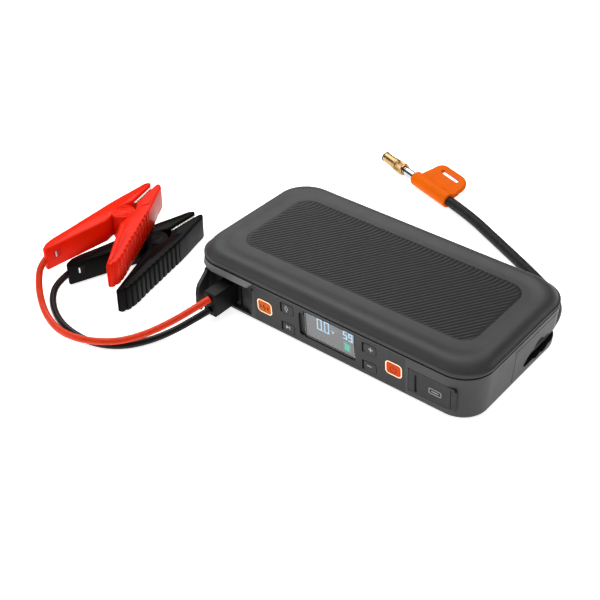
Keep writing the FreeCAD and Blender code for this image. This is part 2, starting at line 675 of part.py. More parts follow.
def hose_collar():
    """Sleeve with a flat hanging loop along its side."""
    sleeve = disc(COLLAR_R, (0, 0, 0), X_AXIS, COLLAR_LEN)
    ends = [e for e in sleeve.Edges if e.BoundBox.XLength < 0.01]
    sleeve = sleeve.makeFillet(1.0, ends)
    tab_t = 4.0
    near_lobe = disc(10.6, (9.6, -14.6, -tab_t / 2), Z_AXIS, tab_t)
    far_lobe = disc(10.0, (30.4, -15.2, -tab_t / 2), Z_AXIS, tab_t)
    corners = [(-0.6, -10.5), (9.6, -25.2), (30.4, -25.2), (38.8, -20.4), (45.4, -5.0), (45.4, 0), (2.0, 0)]
    bridge = polygon_prism(corners, -tab_t / 2, tab_t / 2)
    tab = fuse([near_lobe, far_lobe, bridge])
    rims = [e for e in tab.Edges if abs(abs(e.CenterOfMass.z) - tab_t / 2) < 0.01 and e.CenterOfMass.y < -6
            and e.BoundBox.ZLength < 0.01]
    tab = tab.makeFillet(1.0, rims)
    slot_x = (9.6, 29.6)
    slot_ends = [disc(1.7, (x, -18.6, -5), Z_AXIS, 10) for x in slot_x]
    slot = fuse(slot_ends + [block(*slot_x, -20.3, -16.9, -5, 5)])
    tab = tab.cut(slot)
    tab.rotate(ORIGIN, X_AXIS, -TAB_TILT)
    collar = fuse([sleeve, tab])
    collar = collar.cut(disc(HOSE_R, (-1, 0, 0), X_AXIS, HOSE_IN + 1))
    return collar.cut(disc(STEM_R, (HOSE_IN, 0, 0), X_AXIS, COLLAR_LEN))


def chuck_stem():
    """Plated stem: held in the collar, with the neck that the nut turns on."""
    body = disc(STEM_R, (HOSE_IN, 0, 0), X_AXIS, COLLAR_LEN - HOSE_IN + STEM_LEN)
    neck = disc(2.6, (COLLAR_LEN + STEM_LEN - 0.1, 0, 0), X_AXIS, 10.1)
    flange = disc(3.4, (COLLAR_LEN + STEM_LEN + 8.0, 0, 0), X_AXIS, 2.0)
    stem = fuse([body, neck, flange])
    return stem.cut(disc(1.2, (0, 0, 0), X_AXIS, 90))


def chuck_nut():
    """Knurled nut with a smooth barrel that takes the tyre valve."""
    start = COLLAR_LEN + STEM_LEN + 0.3
    knurl = disc(5.1, (start, 0, 0), X_AXIS, NUT_LEN)
    barrel = disc(4.5, (start + NUT_LEN - 0.1, 0, 0), X_AXIS, BARREL_LEN + 0.1)
    nut = fuse([knurl, barrel])
    grooves = []
    count = 24
    for index in range(count):
        angle = 2 * math.pi * index / count
        spot = (start + 1.2, 5.25 * math.cos(angle), 5.25 * math.sin(angle))
        grooves.append(disc(0.32, spot, X_AXIS, NUT_LEN - 2.4))
    nut = nut.cut(Part.makeCompound(grooves))
    nut = nut.cut(disc(2.65, (start - 1, 0, 0), X_AXIS, 7.2))
    nut = nut.cut(disc(3.45, (start + 6, 0, 0), X_AXIS, 5.5))
    return nut.cut(disc(3.9, (start + 11.4, 0, 0), X_AXIS, 30))


def spur_gear(teeth, width, bore, phase):
    """An involute spur gear drawn about the Z axis, with a little backlash."""
    pressure = math.radians(20)
    pitch_r = GEAR_MODULE * teeth / 2
    base_r = pitch_r * math.cos(pressure)
    tip_r = pitch_r + 0.9 * GEAR_MODULE
    root_r = pitch_r - 1.25 * GEAR_MODULE
    half_tooth = math.pi / (2 * teeth) - 0.05 / pitch_r

    def half_angle(radius):
        roll = math.acos(min(1.0, base_r / radius))
        return half_tooth + math.tan(pressure) - pressure - math.tan(roll) + roll

    low = max(base_r, root_r)
    flank = [low + (tip_r - low) * k / 4 for k in range(5)]
    points = []
    for tooth in range(teeth):
        centre = phase + 2 * math.pi * tooth / teeth
        rising = [(root_r, -half_angle(low))] + [(r, -half_angle(r)) for r in flank]
        for radius, angle in rising + [(r, -a) for r, a in reversed(rising)]:
            points.append((radius * math.cos(centre + angle), radius * math.sin(centre + angle)))
    gear = polygon_prism(points, 0, width)
    return gear.cut(disc(bore, (0, 0, -1), Z_AXIS, width + 2))


def on_drive_axis(shape, x, y):
    """Turns a piece drawn about Z to lie about X: its X runs along Y and its Y along Z."""
    placed = shape.copy()
    placed.Placement = FreeCAD.Placement(V(x, y, AXIS_Z), FreeCAD.Rotation(V(1, 1, 1), 120))
    return placed


def motor_pinion():
    gear = spur_gear(PINION_TEETH, GEAR_W + 1.0, 1.0, 0.0)
    shaft = disc(1.0, (0, 0, -12), Z_AXIS, 17)
    return on_drive_axis(fuse([gear, shaft]), GEAR_X - 0.5, MOTOR_Y)


def crank_gear():
    gear = spur_gear(GEAR_TEETH, GEAR_W, 3.0, math.pi + math.pi / GEAR_TEETH)
    shaft = disc(3.0, (0, 0, -7.5), Z_AXIS, GEAR_W + 7.5)
    web = disc(9.5, (0, 0, GEAR_W - 0.1), Z_AXIS, 2.1)
    return on_drive_axis(fuse([gear, shaft, web]), GEAR_X, GEAR_Y)


def piston_rod():
    """Piston, rod and crank pin in one piece, drawn at the top of the stroke."""
    top = GEAR_Y + CRANK_THROW
    pin = disc(2.5, (GEAR_X + GEAR_W + 2.4, top, AXIS_Z), X_AXIS, 9)
    eye = disc(5.0, (ROD_X - 2, top, AXIS_Z), X_AXIS, 4)
    link = block(ROD_X - 1.5, ROD_X + 1.5, top, top + 28, AXIS_Z - 3, AXIS_Z + 3)
    crown = disc(BORE_R - 0.06, (ROD_X, top + 26, AXIS_Z), Y_AXIS, 8)
    return fuse([pin, eye, link, crown])


def cylinder():
    start = GEAR_Y + 21.5
    body = disc(BORE_R + 2, (ROD_X, start, AXIS_Z), Y_AXIS, 20)
    fins = [disc(BORE_R + 4.5, (ROD_X, start + 3 + 3.4 * k, AXIS_Z), Y_AXIS, 1.4) for k in range(5)]
    return fuse([body] + fins).cut(disc(BORE_R, (ROD_X, start - 1, AXIS_Z), Y_AXIS, 30))


def cylinder_head():
    start = GEAR_Y + 41.5
    cap = disc(BORE_R + 2, (ROD_X, start, AXIS_Z), Y_AXIS, 6.5)
    port = disc(3.4, (ROD_X, start + 3.4, AXIS_Z), X_AXIS, 15)
    head = fuse([cap, port])
    return head.cut(disc(2.0, (ROD_X, start + 3.4, AXIS_Z), X_AXIS, 30))


def compressor_frame():
    """Bearing plate between the motor and the gears, with the foot that carries the cylinder."""
    plate = block(50.5, 54.5, -39, 38, 3.9, 37)
    plate = plate.cut(disc(6.2, (45, MOTOR_Y, AXIS_Z), X_AXIS, 20))
    plate = plate.cut(disc(3.05, (45, GEAR_Y, AXIS_Z), X_AXIS, 20))
    foot = block(50.5, 84, GEAR_Y + 23, GEAR_Y + 40, 3.9, 6.9)
    saddle = block(ROD_X - 9, ROD_X + 9, GEAR_Y + 23, GEAR_Y + 40, 6.9, 14)
    cradle = disc(BORE_R + 4.5, (ROD_X, GEAR_Y + 20, AXIS_Z), Y_AXIS, 24)
    return fuse([plate, foot, saddle]).cut(cradle)


def motor_can():
    can = disc(12.0, (16, MOTOR_Y, AXIS_Z), X_AXIS, 34.5)
    boss = disc(6.2, (50.5, MOTOR_Y, AXIS_Z), X_AXIS, 2.0)
    motor = can.fuse(boss)
    return motor.cut(disc(1.1, (44, MOTOR_Y, AXIS_Z), X_AXIS, 20)).removeSplitter()


AIR_ROUTE = [
    (82.5, 21.4, 21.0), (91.0, 21.4, 22.5), (99.0, 17.0, 25.0), (103.0, 8.0, 26.5), (103.5, -4.0, 25.5),
    (106.0, -15.0, 22.0), (112.0, -20.0, 17.5), (116.6, -15.5, 14.2), (117.6, -5.0, 13.0),
]


def hose_gland():
    """Barb through the end wall of the groove: the hose leaves its flange, the air tube its tail."""
    x, y, z = HOSE_ROUTE[0]
    flange = disc(GLAND_R, (x, y - 1.5, z), Y_AXIS, 1.5)
    tail = disc(3.0, (x, y - 7, z), Y_AXIS, 6)
    return fuse([flange, tail]).cut(disc(AIR_R, (x, y - 8, z), Y_AXIS, 12))


def battery_cells():
    return Part.makeCompound([block(-104, -4, -30, 46, 5.6 + 7.6 * k, 12.8 + 7.6 * k) for k in range(4)])


def battery_tray():
    tray = block(-106.2, -1.8, -35.5, 48.2, 3.8, 24).cut(block(-104.2, -3.8, -33.5, 46.2, 5.6, 30))
    posts = []
    for x in (-104.6, -3.4):
        for y in (-33.9, 46.6):
            posts.append(disc(1.6, (x, y, 20), Z_AXIS, 17.6))
    return fuse([tray] + posts).cut(block(-104.1, -3.9, -30.1, 46.1, 5.6, 40))


def battery_busbars():
    bars = []
    for level in range(3):
        x = -90 + 60 * (level % 2)
        z = 5.6 + 7.6 * level
        bars.append(block(x, x + 22, -31.2, -30, z + 4, z + 11))
    return Part.makeCompound(bars)


def power_board():
    return block(-106, -2, -36, 49, 37.6, 39.2)


def board_parts():
    parts = [block(-100 + 12 * k, -92 + 12 * k, -32, -22, 39.2, 41.0) for k in range(6)]
    parts += [disc(4.0, (-95 + 14 * k, 36, 39.2), Z_AXIS, 1.9) for k in range(4)]
    parts += [block(-60, -44, -6, 10, 39.2, 40.6), block(-28, -18, -4, 4, 39.2, 41.0)]
    return Part.makeCompound(parts)


def case_screws():
    screws = []
    for x, y in SCREW_SPOTS:
        shank = disc(SCREW_R, (x, y, FLOOR_GAP + 1.6), Z_AXIS, SEAM_Z + 4.5 - FLOOR_GAP - 1.6)
        head = disc(2.8, (x, y, FLOOR_GAP + 0.2), Z_AXIS, 1.4)
        cross = block(x - 1.4, x + 1.4, y - 0.35, y + 0.35, 0, FLOOR_GAP + 0.9)
        cross = cross.fuse(block(x - 0.35, x + 0.35, y - 1.4, y + 1.4, 0, FLOOR_GAP + 0.9))
        screws.append(fuse([shank, head]).cut(cross))
    return Part.makeCompound(screws)


def feet():
    pads = []
    for x, y in FOOT_SPOTS:
        pad = disc(FOOT_R, (x, y, 0), Z_AXIS, FLOOR_GAP + 0.8)
        pads.append(pad.makeFillet(0.5, flat_edges(pad, 0)))
    return Part.makeCompound(pads)


def torch_reflector():
    cup = disc(8.3, (-121.2, 0, AXIS_Z), X_AXIS, 9)
    bowl = Part.makeCone(7.4, 2.4, 6.5, V(-121.2, 0, AXIS_Z), X_AXIS)
    led = block(-114.9, -114.0, -1.6, 1.6, AXIS_Z - 1.6, AXIS_Z + 1.6)
    return cup.cut(bowl).fuse(led).removeSplitter()


def save(name, shape):
    shape.exportStep("parts/%s.step" % name)
    print("%-20s %10.1f mm3  solids %d valid %s" % (name, shape.Volume, len(shape.Solids), shape.isValid()))


def main():
    envelope, hollow = hose_channel()
    root = V(*HOSE_ROUTE[0])
    gland_hole = disc(GLAND_R, (root.x, root.y - 1.5, root.z), Y_AXIS, 1.5)
    save("bottom_shell", bottom_shell(envelope, hollow))
    save("hose_channel", envelope.cut(hollow).cut(gland_hole))
    save("top_shell", top_shell())
    save("grip_panel", grip_panel())
    save("control_fascia", control_fascia())
    save("button_light_rings", light_rings())
    save("lcd_window", tilted(front_plate(*LCD_GLASS, 0.5, 1.7)))
    save("lcd_module", tilted(front_plate(-17.2, 28.5, 10.2, 34.0, FASCIA_T, 6.6)))
    save("display_board", tilted(front_plate(-61.5, 69.5, 7.4, 32.6, 8.4, 10.0)))
    save("button_switches", button_switches())
    for name, centre in ORANGE_KEYS.items():
        save(name, push_key(centre, ORANGE_KEY, 0.6))
    for name, centre in SMALL_KEYS.items():
        save(name, push_key(centre, SMALL_KEY, 0.25))
    save("usb_flap", usb_flap())
    save("usb_ports", usb_ports())
    save("usb_board", tilted(front_plate(75, 103, 9, 31, FLAP_T + 9.6, FLAP_T + 11.2)))
    save("jump_socket", jump_socket())
    save("socket_contacts", socket_contacts())
    save("socket_cover", socket_cover())
    save("battery_cells", battery_cells())
    save("battery_tray", battery_tray())
    save("battery_busbars", battery_busbars())
    save("power_board", power_board())
    save("board_parts", board_parts())
    save("compressor_frame", compressor_frame())
    save("motor_can", motor_can())
    save("motor_pinion", motor_pinion())
    save("crank_gear", crank_gear())
    save("piston_rod", piston_rod())
    save("cylinder", cylinder())
    save("cylinder_head", cylinder_head())
    save("air_tube", tube(AIR_ROUTE, AIR_R, "air_tube"))
    save("hose_gland", hose_gland())
    save("torch_lens", disc(8.2, (-124.2, 0, AXIS_Z), X_AXIS, 3.0))
    save("torch_reflector", torch_reflector())
    save("feet", feet())
    save("case_screws", case_screws())
    save("air_hose", tube(HOSE_ROUTE, HOSE_R, "air_hose"))
    save("hose_collar", hose_fitting_frame(hose_collar()))
    save("chuck_stem", hose_fitting_frame(chuck_stem()))
    save("chuck_nut", hose_fitting_frame(chuck_nut()))
    save("plug_housing", plug_housing())
    save("plug_pins", plug_pins())
    save("red_lead", tube(RED_ROUTE, LEAD_R, "red_lead"))
    save("black_lead", tube(BLACK_ROUTE, LEAD_R, "black_lead"))
    for side in CLAMPS:
        save(side + "_cable_handle", clamp_frame(fixed_handle(), side))
        save(side + "_moving_handle", clamp_frame(moving_handle(), side))
        save(side + "_cable_jaw", clamp_frame(jaw_plate(-1), side))
        save(side + "_moving_jaw", clamp_frame(jaw_plate(1), side))
    for name, piece in (("pivot_pins", disc(PIN_R, (0, 0, 0), Z_AXIS, CLAMP_T)),
                        ("clamp_springs", clamp_spring()), ("crimp_screws", crimp_screw())):
        save(name, Part.makeCompound([clamp_frame(piece, side) for side in CLAMPS]))


main()
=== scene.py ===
import json
import math

import bmesh
import bpy
from mathutils import Matrix, Vector


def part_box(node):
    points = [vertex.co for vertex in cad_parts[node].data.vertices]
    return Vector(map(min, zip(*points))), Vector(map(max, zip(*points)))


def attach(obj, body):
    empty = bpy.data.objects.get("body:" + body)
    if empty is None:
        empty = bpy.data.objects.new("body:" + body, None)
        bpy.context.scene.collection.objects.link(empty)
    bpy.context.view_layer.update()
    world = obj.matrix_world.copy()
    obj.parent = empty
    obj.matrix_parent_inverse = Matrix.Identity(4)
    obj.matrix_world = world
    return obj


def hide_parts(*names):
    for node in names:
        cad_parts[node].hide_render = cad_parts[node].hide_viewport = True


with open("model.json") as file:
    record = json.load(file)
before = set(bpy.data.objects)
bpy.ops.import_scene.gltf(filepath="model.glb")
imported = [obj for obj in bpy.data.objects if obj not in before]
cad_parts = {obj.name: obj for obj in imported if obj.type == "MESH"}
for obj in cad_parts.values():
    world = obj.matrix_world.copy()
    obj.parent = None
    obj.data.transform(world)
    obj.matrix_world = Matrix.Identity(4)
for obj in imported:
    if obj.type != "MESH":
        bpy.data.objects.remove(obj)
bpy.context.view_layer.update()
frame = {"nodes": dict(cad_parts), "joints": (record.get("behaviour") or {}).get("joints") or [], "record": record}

# The jump starter pack's looks, in metres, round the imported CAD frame.
MM = 0.001
JOINTS = {joint["name"]: joint for joint in frame["joints"]}

# The control panel leans out, so its pieces are drawn upright and then tilted about the X axis
PRESS = Vector(JOINTS["boost_press"]["axis"])
LEAN = math.atan2(PRESS.z, PRESS.y)
FASCIA_T = 2.2 * MM
FASCIA_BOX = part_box("control_fascia")
FASCIA_TOP = (FASCIA_BOX[1][2] - FASCIA_T * math.sin(LEAN)) / math.cos(LEAN)
PANEL_FRAME = (Matrix.Translation((0, FASCIA_BOX[0][1] + FASCIA_TOP * math.sin(LEAN), 0))
               @ Matrix.Rotation(LEAN, 4, "X"))

# Case and the dish with the ribbed grip in its top
TOP_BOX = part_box("top_shell")
CASE_HALF = (TOP_BOX[1][0], TOP_BOX[1][1])
CORNER_R = 24 * MM
TOP_Z = TOP_BOX[1][2]
GRIP_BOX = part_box("grip_panel")
GRIP_HALF = (GRIP_BOX[1][0], (GRIP_BOX[1][1] - GRIP_BOX[0][1]) / 2)
GRIP_Y = (GRIP_BOX[1][1] + GRIP_BOX[0][1]) / 2
GRIP_R = 14 * MM
RIB_HEIGHT = 0.9 * MM
GRIP_FLOOR = GRIP_BOX[1][2] - RIB_HEIGHT


# ---------------------------------------------------------------- camera
CAMERA_AT = (0.3813, -0.5684, 0.5166)
CAMERA_AZIMUTH = 38.63
CAMERA_ELEVATION = 36.43
SENSOR_WIDTH = 36.0
LENS = 67.68


def put_in_scene(name, data):
    made = bpy.data.objects.new(name, data)
    bpy.context.scene.collection.objects.link(made)
    return made


def make_camera():
    camera = put_in_scene("camera", bpy.data.cameras.new("camera"))
    camera.data.sensor_width = SENSOR_WIDTH
    camera.data.lens = LENS
    camera.location = CAMERA_AT
    camera.rotation_euler = (math.radians(90 - CAMERA_ELEVATION), 0, math.radians(CAMERA_AZIMUTH))
    camera.data.clip_start = 0.01
    camera.data.clip_end = 20
    bpy.context.scene.camera = camera


# ---------------------------------------------------------------- materials
class Surface:
    """A procedural material: a principled shader with the detail nodes that feed it."""

    def __init__(self, name, colour, roughness, **sockets):
        self.material = bpy.data.materials.new(name)
        self.material.use_nodes = True
        self.tree = self.material.node_tree
        self.shader = self.tree.nodes["Principled BSDF"]
        self.colour = (*colour, 1)
        self.shader.inputs["Base Color"].default_value = self.colour
        self.shader.inputs["Roughness"].default_value = roughness
        self.roughness = roughness
        for key, value in sockets.items():
            self.shader.inputs[key.replace("_", " ")].default_value = value
        self.coordinates = self.node("ShaderNodeTexCoord").outputs["Object"]
        self.normal = None

    def node(self, kind, **settings):
        made = self.tree.nodes.new(kind)
        for key, value in settings.items():
            setattr(made, key, value)
        return made

    def link(self, source, target):
        self.tree.links.new(source, target)

    def noise(self, scale, detail=3.0, stretch=None):
        texture = self.node("ShaderNodeTexNoise")
        texture.inputs["Scale"].default_value = scale
        texture.inputs["Detail"].default_value = detail
        source = self.coordinates
        if stretch:
            mapping = self.node("ShaderNodeMapping")
            mapping.inputs["Scale"].default_value = stretch
            self.link(source, mapping.inputs["Vector"])
            source = mapping.outputs["Vector"]
        self.link(source, texture.inputs["Vector"])
        return texture.outputs["Fac"]

    def vary_colour(self, scale, spread, stretch=None):
        """Mottles the base colour by a share of itself."""
        ramp = self.node("ShaderNodeValToRGB")
        ramp.color_ramp.elements[0].position = 0.3
        ramp.color_ramp.elements[1].position = 0.7
        for element, share in zip(ramp.color_ramp.elements, (1 - spread, 1 + spread)):
            element.color = (*[min(1.0, c * share) for c in self.colour[:3]], 1)
        self.link(self.noise(scale, stretch=stretch), ramp.inputs["Fac"])
        self.link(ramp.outputs["Color"], self.shader.inputs["Base Color"])
        return self

    def vary_roughness(self, scale, spread, stretch=None):
        remap = self.node("ShaderNodeMapRange")
        remap.inputs["To Min"].default_value = max(0.02, self.roughness - spread)
        remap.inputs["To Max"].default_value = min(1.0, self.roughness + spread)
        self.link(self.noise(scale, stretch=stretch), remap.inputs["Value"])
        self.link(remap.outputs["Result"], self.shader.inputs["Roughness"])
        return self

    def bump(self, height, distance, strength=1.0):
        """Adds a layer of relief, distance metres deep, over the ones before it."""
        layer = self.node("ShaderNodeBump")
        layer.inputs["Distance"].default_value = distance
        layer.inputs["Strength"].default_value = strength
        self.link(height, layer.inputs["Height"])
        if self.normal:
            self.link(self.normal, layer.inputs["Normal"])
        self.normal = layer.outputs["Normal"]
        self.link(self.normal, self.shader.inputs["Normal"])
        return self

    def grain(self, scale, distance, detail=2.0, stretch=None):
        return self.bump(self.noise(scale, detail, stretch), distance)


def soft_touch(name, colour, roughness=0.48, grain=2600, depth=0.00003):
    """Moulded plastic with a spark-eroded texture, slightly uneven in colour and sheen."""
    surface = Surface(name, colour, roughness, Specular_IOR_Level=0.28)
    surface.vary_colour(55, 0.06).vary_roughness(90, 0.06)
    return surface.grain(grain, depth).grain(340, depth * 0.8).material


def satin(name, colour, roughness=0.32, shine=0.16):
    """Smooth moulded nylon with faint flow marks."""
    surface = Surface(name, colour, roughness, Specular_IOR_Level=shine)
    surface.vary_colour(70, 0.05).vary_roughness(120, 0.07, (1, 1, 3))
    return surface.grain(900, 0.00001).material


def rubber(name, colour, roughness=0.6, depth=0.00002):
    surface = Surface(name, colour, roughness, Specular_IOR_Level=0.22)
    surface.vary_colour(160, 0.1).vary_roughness(260, 0.08)
    return surface.grain(1900, depth).material


def metal(name, colour, roughness, stretch=(1, 1, 1), depth=0.000006):
    surface = Surface(name, colour, roughness, Metallic=1.0)
    surface.vary_colour(240, 0.08, stretch).vary_roughness(700, 0.09, stretch)
    return surface.grain(1400, depth, stretch=stretch).material


def woven(name, colour, roughness):
    """Rubber hose under a fine crossed braid."""
    surface = Surface(name, colour, roughness, Specular_IOR_Level=0.16)
    surface.vary_colour(420, 0.35).vary_roughness(300, 0.1)
    for turn in (0.7, -0.7):
        mapping = surface.node("ShaderNodeMapping")
        mapping.inputs["Rotation"].default_value = (0.4, turn, turn)
        surface.link(surface.coordinates, mapping.inputs["Vector"])
        wave = surface.node("ShaderNodeTexWave")
        wave.inputs["Scale"].default_value = 260
        wave.inputs["Distortion"].default_value = 1.2
        surface.link(mapping.outputs["Vector"], wave.inputs["Vector"])
        surface.bump(wave.outputs["Fac"], 0.00012)
    return surface.material


def ridged_painted_shade(name, low, high):
    """Soft-touch plastic whose colour runs from the ribs' backs down to near black in the valleys between them:
    painted shade.
    """
    surface = Surface(name, (high, high, high), 0.44, Specular_IOR_Level=0.28)
    height = surface.node("ShaderNodeSeparateXYZ")
    surface.link(surface.coordinates, height.inputs["Vector"])
    remap = surface.node("ShaderNodeMapRange")
    for key, value in (("From Min", GRIP_FLOOR), ("From Max", GRIP_FLOOR + RIB_HEIGHT),
                       ("To Min", low), ("To Max", high)):
        remap.inputs[key].default_value = value
    surface.link(height.outputs["Z"], remap.inputs["Value"])
    surface.link(remap.outputs["Result"], surface.shader.inputs["Base Color"])
    return surface.vary_roughness(90, 0.06).grain(2600, 0.00003).material


def glass(name, colour, roughness=0.04, bend=1.45):
    surface = Surface(name, colour, roughness, Transmission_Weight=1.0, IOR=bend)
    return surface.vary_roughness(60, 0.02).material


def glow(name, colour, strength):
    surface = Surface(name, colour, 0.5, Emission_Color=(*colour, 1), Emission_Strength=strength)
    return surface.vary_colour(900, 0.06).material


def make_materials():
    return {
        "case_grey": soft_touch("case_grey", (0.046, 0.046, 0.047)),
        # A lighter copy of the case grey for the lip over the jump socket: painted light on that band
        "lip_grey": soft_touch("lip_grey", (0.185, 0.185, 0.186), 0.46),
        "cover_grey": soft_touch("cover_grey", (0.038, 0.038, 0.039), 0.5),
        # The grip's colour darkens with depth between its ribs: painted shade in the valleys
        "grip_grey": ridged_painted_shade("grip_grey", 0.003, 0.046),
        "control_grey": soft_touch("control_grey", (0.025, 0.025, 0.026), 0.5, 3400, 0.00002),
        # Near-black liner inside the case's recesses: painted shade in them
        "liner_black": soft_touch("liner_black", (0.004, 0.004, 0.004), 0.6),
        "key_orange": satin("key_orange", (0.66, 0.115, 0.001), 0.45, 0.08),
        "power_orange": satin("power_orange", (0.66, 0.055, 0.001), 0.45, 0.08),
        "ring_light": glow("ring_light", (1.0, 0.72, 0.46), 0.5),
        "display_glass": glass("display_glass", (0.8, 0.82, 0.84), 0.06, 1.2),
        "display_grey": glow("display_grey", (0.16, 0.155, 0.152), 0.95),
        "display_digit": glow("display_digit", (0.5, 0.72, 0.84), 0.62),
        "display_faint": glow("display_faint", (0.32, 0.42, 0.46), 0.25),
        "display_teal": glow("display_teal", (0.13, 0.6, 0.42), 0.5),
        "legend": satin("legend", (0.45, 0.45, 0.46), 0.5),
        "legend_dark": satin("legend_dark", (0.2, 0.02, 0.003), 0.5),
        "board_green": satin("board_green", (0.02, 0.11, 0.05), 0.4),
        "board_black": soft_touch("board_black", (0.02, 0.02, 0.02)),
        "contact_steel": metal("contact_steel", (0.62, 0.62, 0.63), 0.3),
        "contact_brass": metal("contact_brass", (0.78, 0.56, 0.26), 0.3),
        "cell_foil": metal("cell_foil", (0.6, 0.61, 0.63), 0.42),
        "tray_plastic": soft_touch("tray_plastic", (0.11, 0.11, 0.12)),
        "busbar_nickel": metal("busbar_nickel", (0.72, 0.7, 0.64), 0.35, (6, 1, 1)),
        "drive_aluminium": metal("drive_aluminium", (0.62, 0.63, 0.65), 0.45),
        "motor_steel": metal("motor_steel", (0.48, 0.49, 0.5), 0.36, (1, 6, 6)),
        "gear_steel": metal("gear_steel", (0.5, 0.5, 0.52), 0.34),
        "piston_polymer": soft_touch("piston_polymer", (0.62, 0.58, 0.48)),
        "tube_rubber": rubber("tube_rubber", (0.03, 0.03, 0.03)),
        "hose_rubber": woven("hose_rubber", (0.008, 0.008, 0.009), 0.5),
        "collar_orange": satin("collar_orange", (0.74, 0.118, 0.0), 0.42, 0.04),
        "stem_shadow": satin("stem_shadow", (0.01, 0.01, 0.01), 0.3),
        "stem_chrome": metal("stem_chrome", (0.42, 0.42, 0.43), 0.12, (1, 1, 1), 0.000002),
        "nut_brass": metal("nut_brass", (0.44, 0.27, 0.115), 0.26),
        "lens_clear": glass("lens_clear", (0.92, 0.94, 0.96)),
        "reflector_chrome": metal("reflector_chrome", (0.85, 0.85, 0.86), 0.1),
        "foot_rubber": rubber("foot_rubber", (0.02, 0.02, 0.02)),
        "screw_steel": metal("screw_steel", (0.3, 0.3, 0.31), 0.35),
        "flap_rubber": rubber("flap_rubber", (0.03, 0.03, 0.031), 0.55),
        "plug_black": satin("plug_black", (0.003, 0.003, 0.003), 0.4, 0.11),
        "lead_red": rubber("lead_red", (0.7, 0.034, 0.002), 0.36, 0.000008),
        "lead_black": rubber("lead_black", (0.004, 0.004, 0.004), 0.34, 0.000008),
        "clamp_red": satin("clamp_red", (0.86, 0.017, 0.002), 0.32, 0.08),
        "clamp_black": satin("clamp_black", (0.003, 0.003, 0.003), 0.4, 0.06),
        "clamp_red_shade": satin("clamp_red_shade", (0.62, 0.006, 0.002), 0.5),
        "clamp_black_shade": satin("clamp_black_shade", (0.001, 0.001, 0.001), 0.6),
        "jaw_copper": metal("jaw_copper", (0.8, 0.74, 0.66), 0.28),
        "pin_steel": metal("pin_steel", (0.6, 0.6, 0.61), 0.28),
    }


MATERIALS = make_materials()


def dress_cad_nodes():
    """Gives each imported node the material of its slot."""
    for row in frame["record"]["subparts"]:
        node = frame["nodes"][row["node"]]
        node.data.materials.clear()
        node.data.materials.append(MATERIALS[row["material_slot"]])
    power = frame["nodes"]["power_button"]
    power.data.materials[0] = MATERIALS["power_orange"]


# ---------------------------------------------------------------- pieces
def add_piece(name, data, material, body, place=None):
    """A mesh or curve, moved to its place, in a material, riding on a body of the frame."""
    if place:
        data.transform(place)
    piece = put_in_scene(name, data)
    piece.data.materials.append(MATERIALS[material])
    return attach(piece, body)


def in_metres(points):
    return [tuple(value * MM for value in point) for point in points]


def finish_mesh(mesh, sharp=32):
    mesh.validate()
    for polygon in mesh.polygons:
        polygon.use_smooth = True
    mesh.set_sharp_from_angle(angle=math.radians(sharp))
    return mesh


def skin_mesh(name, points, faces, sharp):
    """A mesh whose faces all look outwards."""
    mesh = bpy.data.meshes.new(name)
    mesh.from_pydata(points, [], faces)
    work = bmesh.new()
    work.from_mesh(mesh)
    bmesh.ops.recalc_face_normals(work, faces=work.faces)
    work.to_mesh(mesh)
    work.free()
    return finish_mesh(mesh, sharp)


def ring_mesh(name, rings, capped=True, sharp=32):
    """A closed skin through rings that have the same number of points each."""
    count = len(rings[0])
    points = [point for ring in rings for point in ring]
    faces = []
    for level in range(len(rings) - 1):
        for k in range(count):
            low = level * count
            after = (k + 1) % count
            faces.append((low + k, low + after, low + count + after, low + count + k))
    if capped:
        faces.append(tuple(reversed(range(count))))
        faces.append(tuple(range((len(rings) - 1) * count, len(rings) * count)))
    return skin_mesh(name, points, faces, sharp)


def rounded_outline(half_x, half_y, radius, centre_y=0.0, steps=20):
    points = []
    for quarter in range(4):
        sx = (1, -1, -1, 1)[quarter]
        sy = (1, 1, -1, -1)[quarter]
        for k in range(steps + 1):
            angle = math.pi / 2 * (quarter + k / steps)
            points.append((sx * (half_x - radius) + radius * math.cos(angle),
                           centre_y + sy * (half_y - radius) + radius * math.sin(angle)))
    return points


def plate_mesh(name, outline, low, high, chamfer):
    """A flat plate with chamfered rims: an outline in X and Y, given thickness along Z."""
    rings = []
    for level, inset in ((low, chamfer), (low + chamfer, 0), (high - chamfer, 0), (high, chamfer)):
        rings.append([(x, y, level) for x, y in offset_outline(outline, -inset)])
    return ring_mesh(name, rings, sharp=25)


def with_neighbours(points):
    """Each point of a closed outline between the one before it and the one after it."""
    return zip(points[-1:] + points, points, points[1:] + points[:1])


def outline_area(points):
    pairs = zip(points, points[1:] + points[:1])
    return sum(a[0] * b[1] - b[0] * a[1] for a, b in pairs) / 2


def offset_outline(points, distance):
    """Moves a closed outline's points out along their normals, or in where distance is negative."""
    turn = 1 if outline_area(points) > 0 else -1
    moved = []
    for before, here, after in with_neighbours(points):
        first = Vector((here[0] - before[0], here[1] - before[1])).normalized()
        second = Vector((after[0] - here[0], after[1] - here[1])).normalized()
        normal = Vector((first.y + second.y, -first.x - second.x))
        normal = normal.normalized() * turn
        slant = max(0.5, (normal * turn).dot(Vector((first.y, -first.x))))
        moved.append((here[0] + normal.x * distance / slant, here[1] + normal.y * distance / slant))
    return moved


def rounded_corners(points, reach, steps=4):
    """Replaces each corner of a closed outline by a small curve."""
    result = []
    for before, here, after in with_neighbours(points):
        corner = Vector(here)
        back = Vector(before) - corner
        ahead = Vector(after) - corner
        start = corner + back.normalized() * min(reach, back.length * 0.4)
        end = corner + ahead.normalized() * min(reach, ahead.length * 0.4)
        for k in range(steps + 1):
            t = k / steps
            result.append(tuple(start * (1 - t) ** 2 + corner * 2 * t * (1 - t) + end * t ** 2))
    return result


# ---------------------------------------------------------------- case top
SEAM_GAP = 0.45 * MM
SEAM_Z = TOP_BOX[0][2] + SEAM_GAP
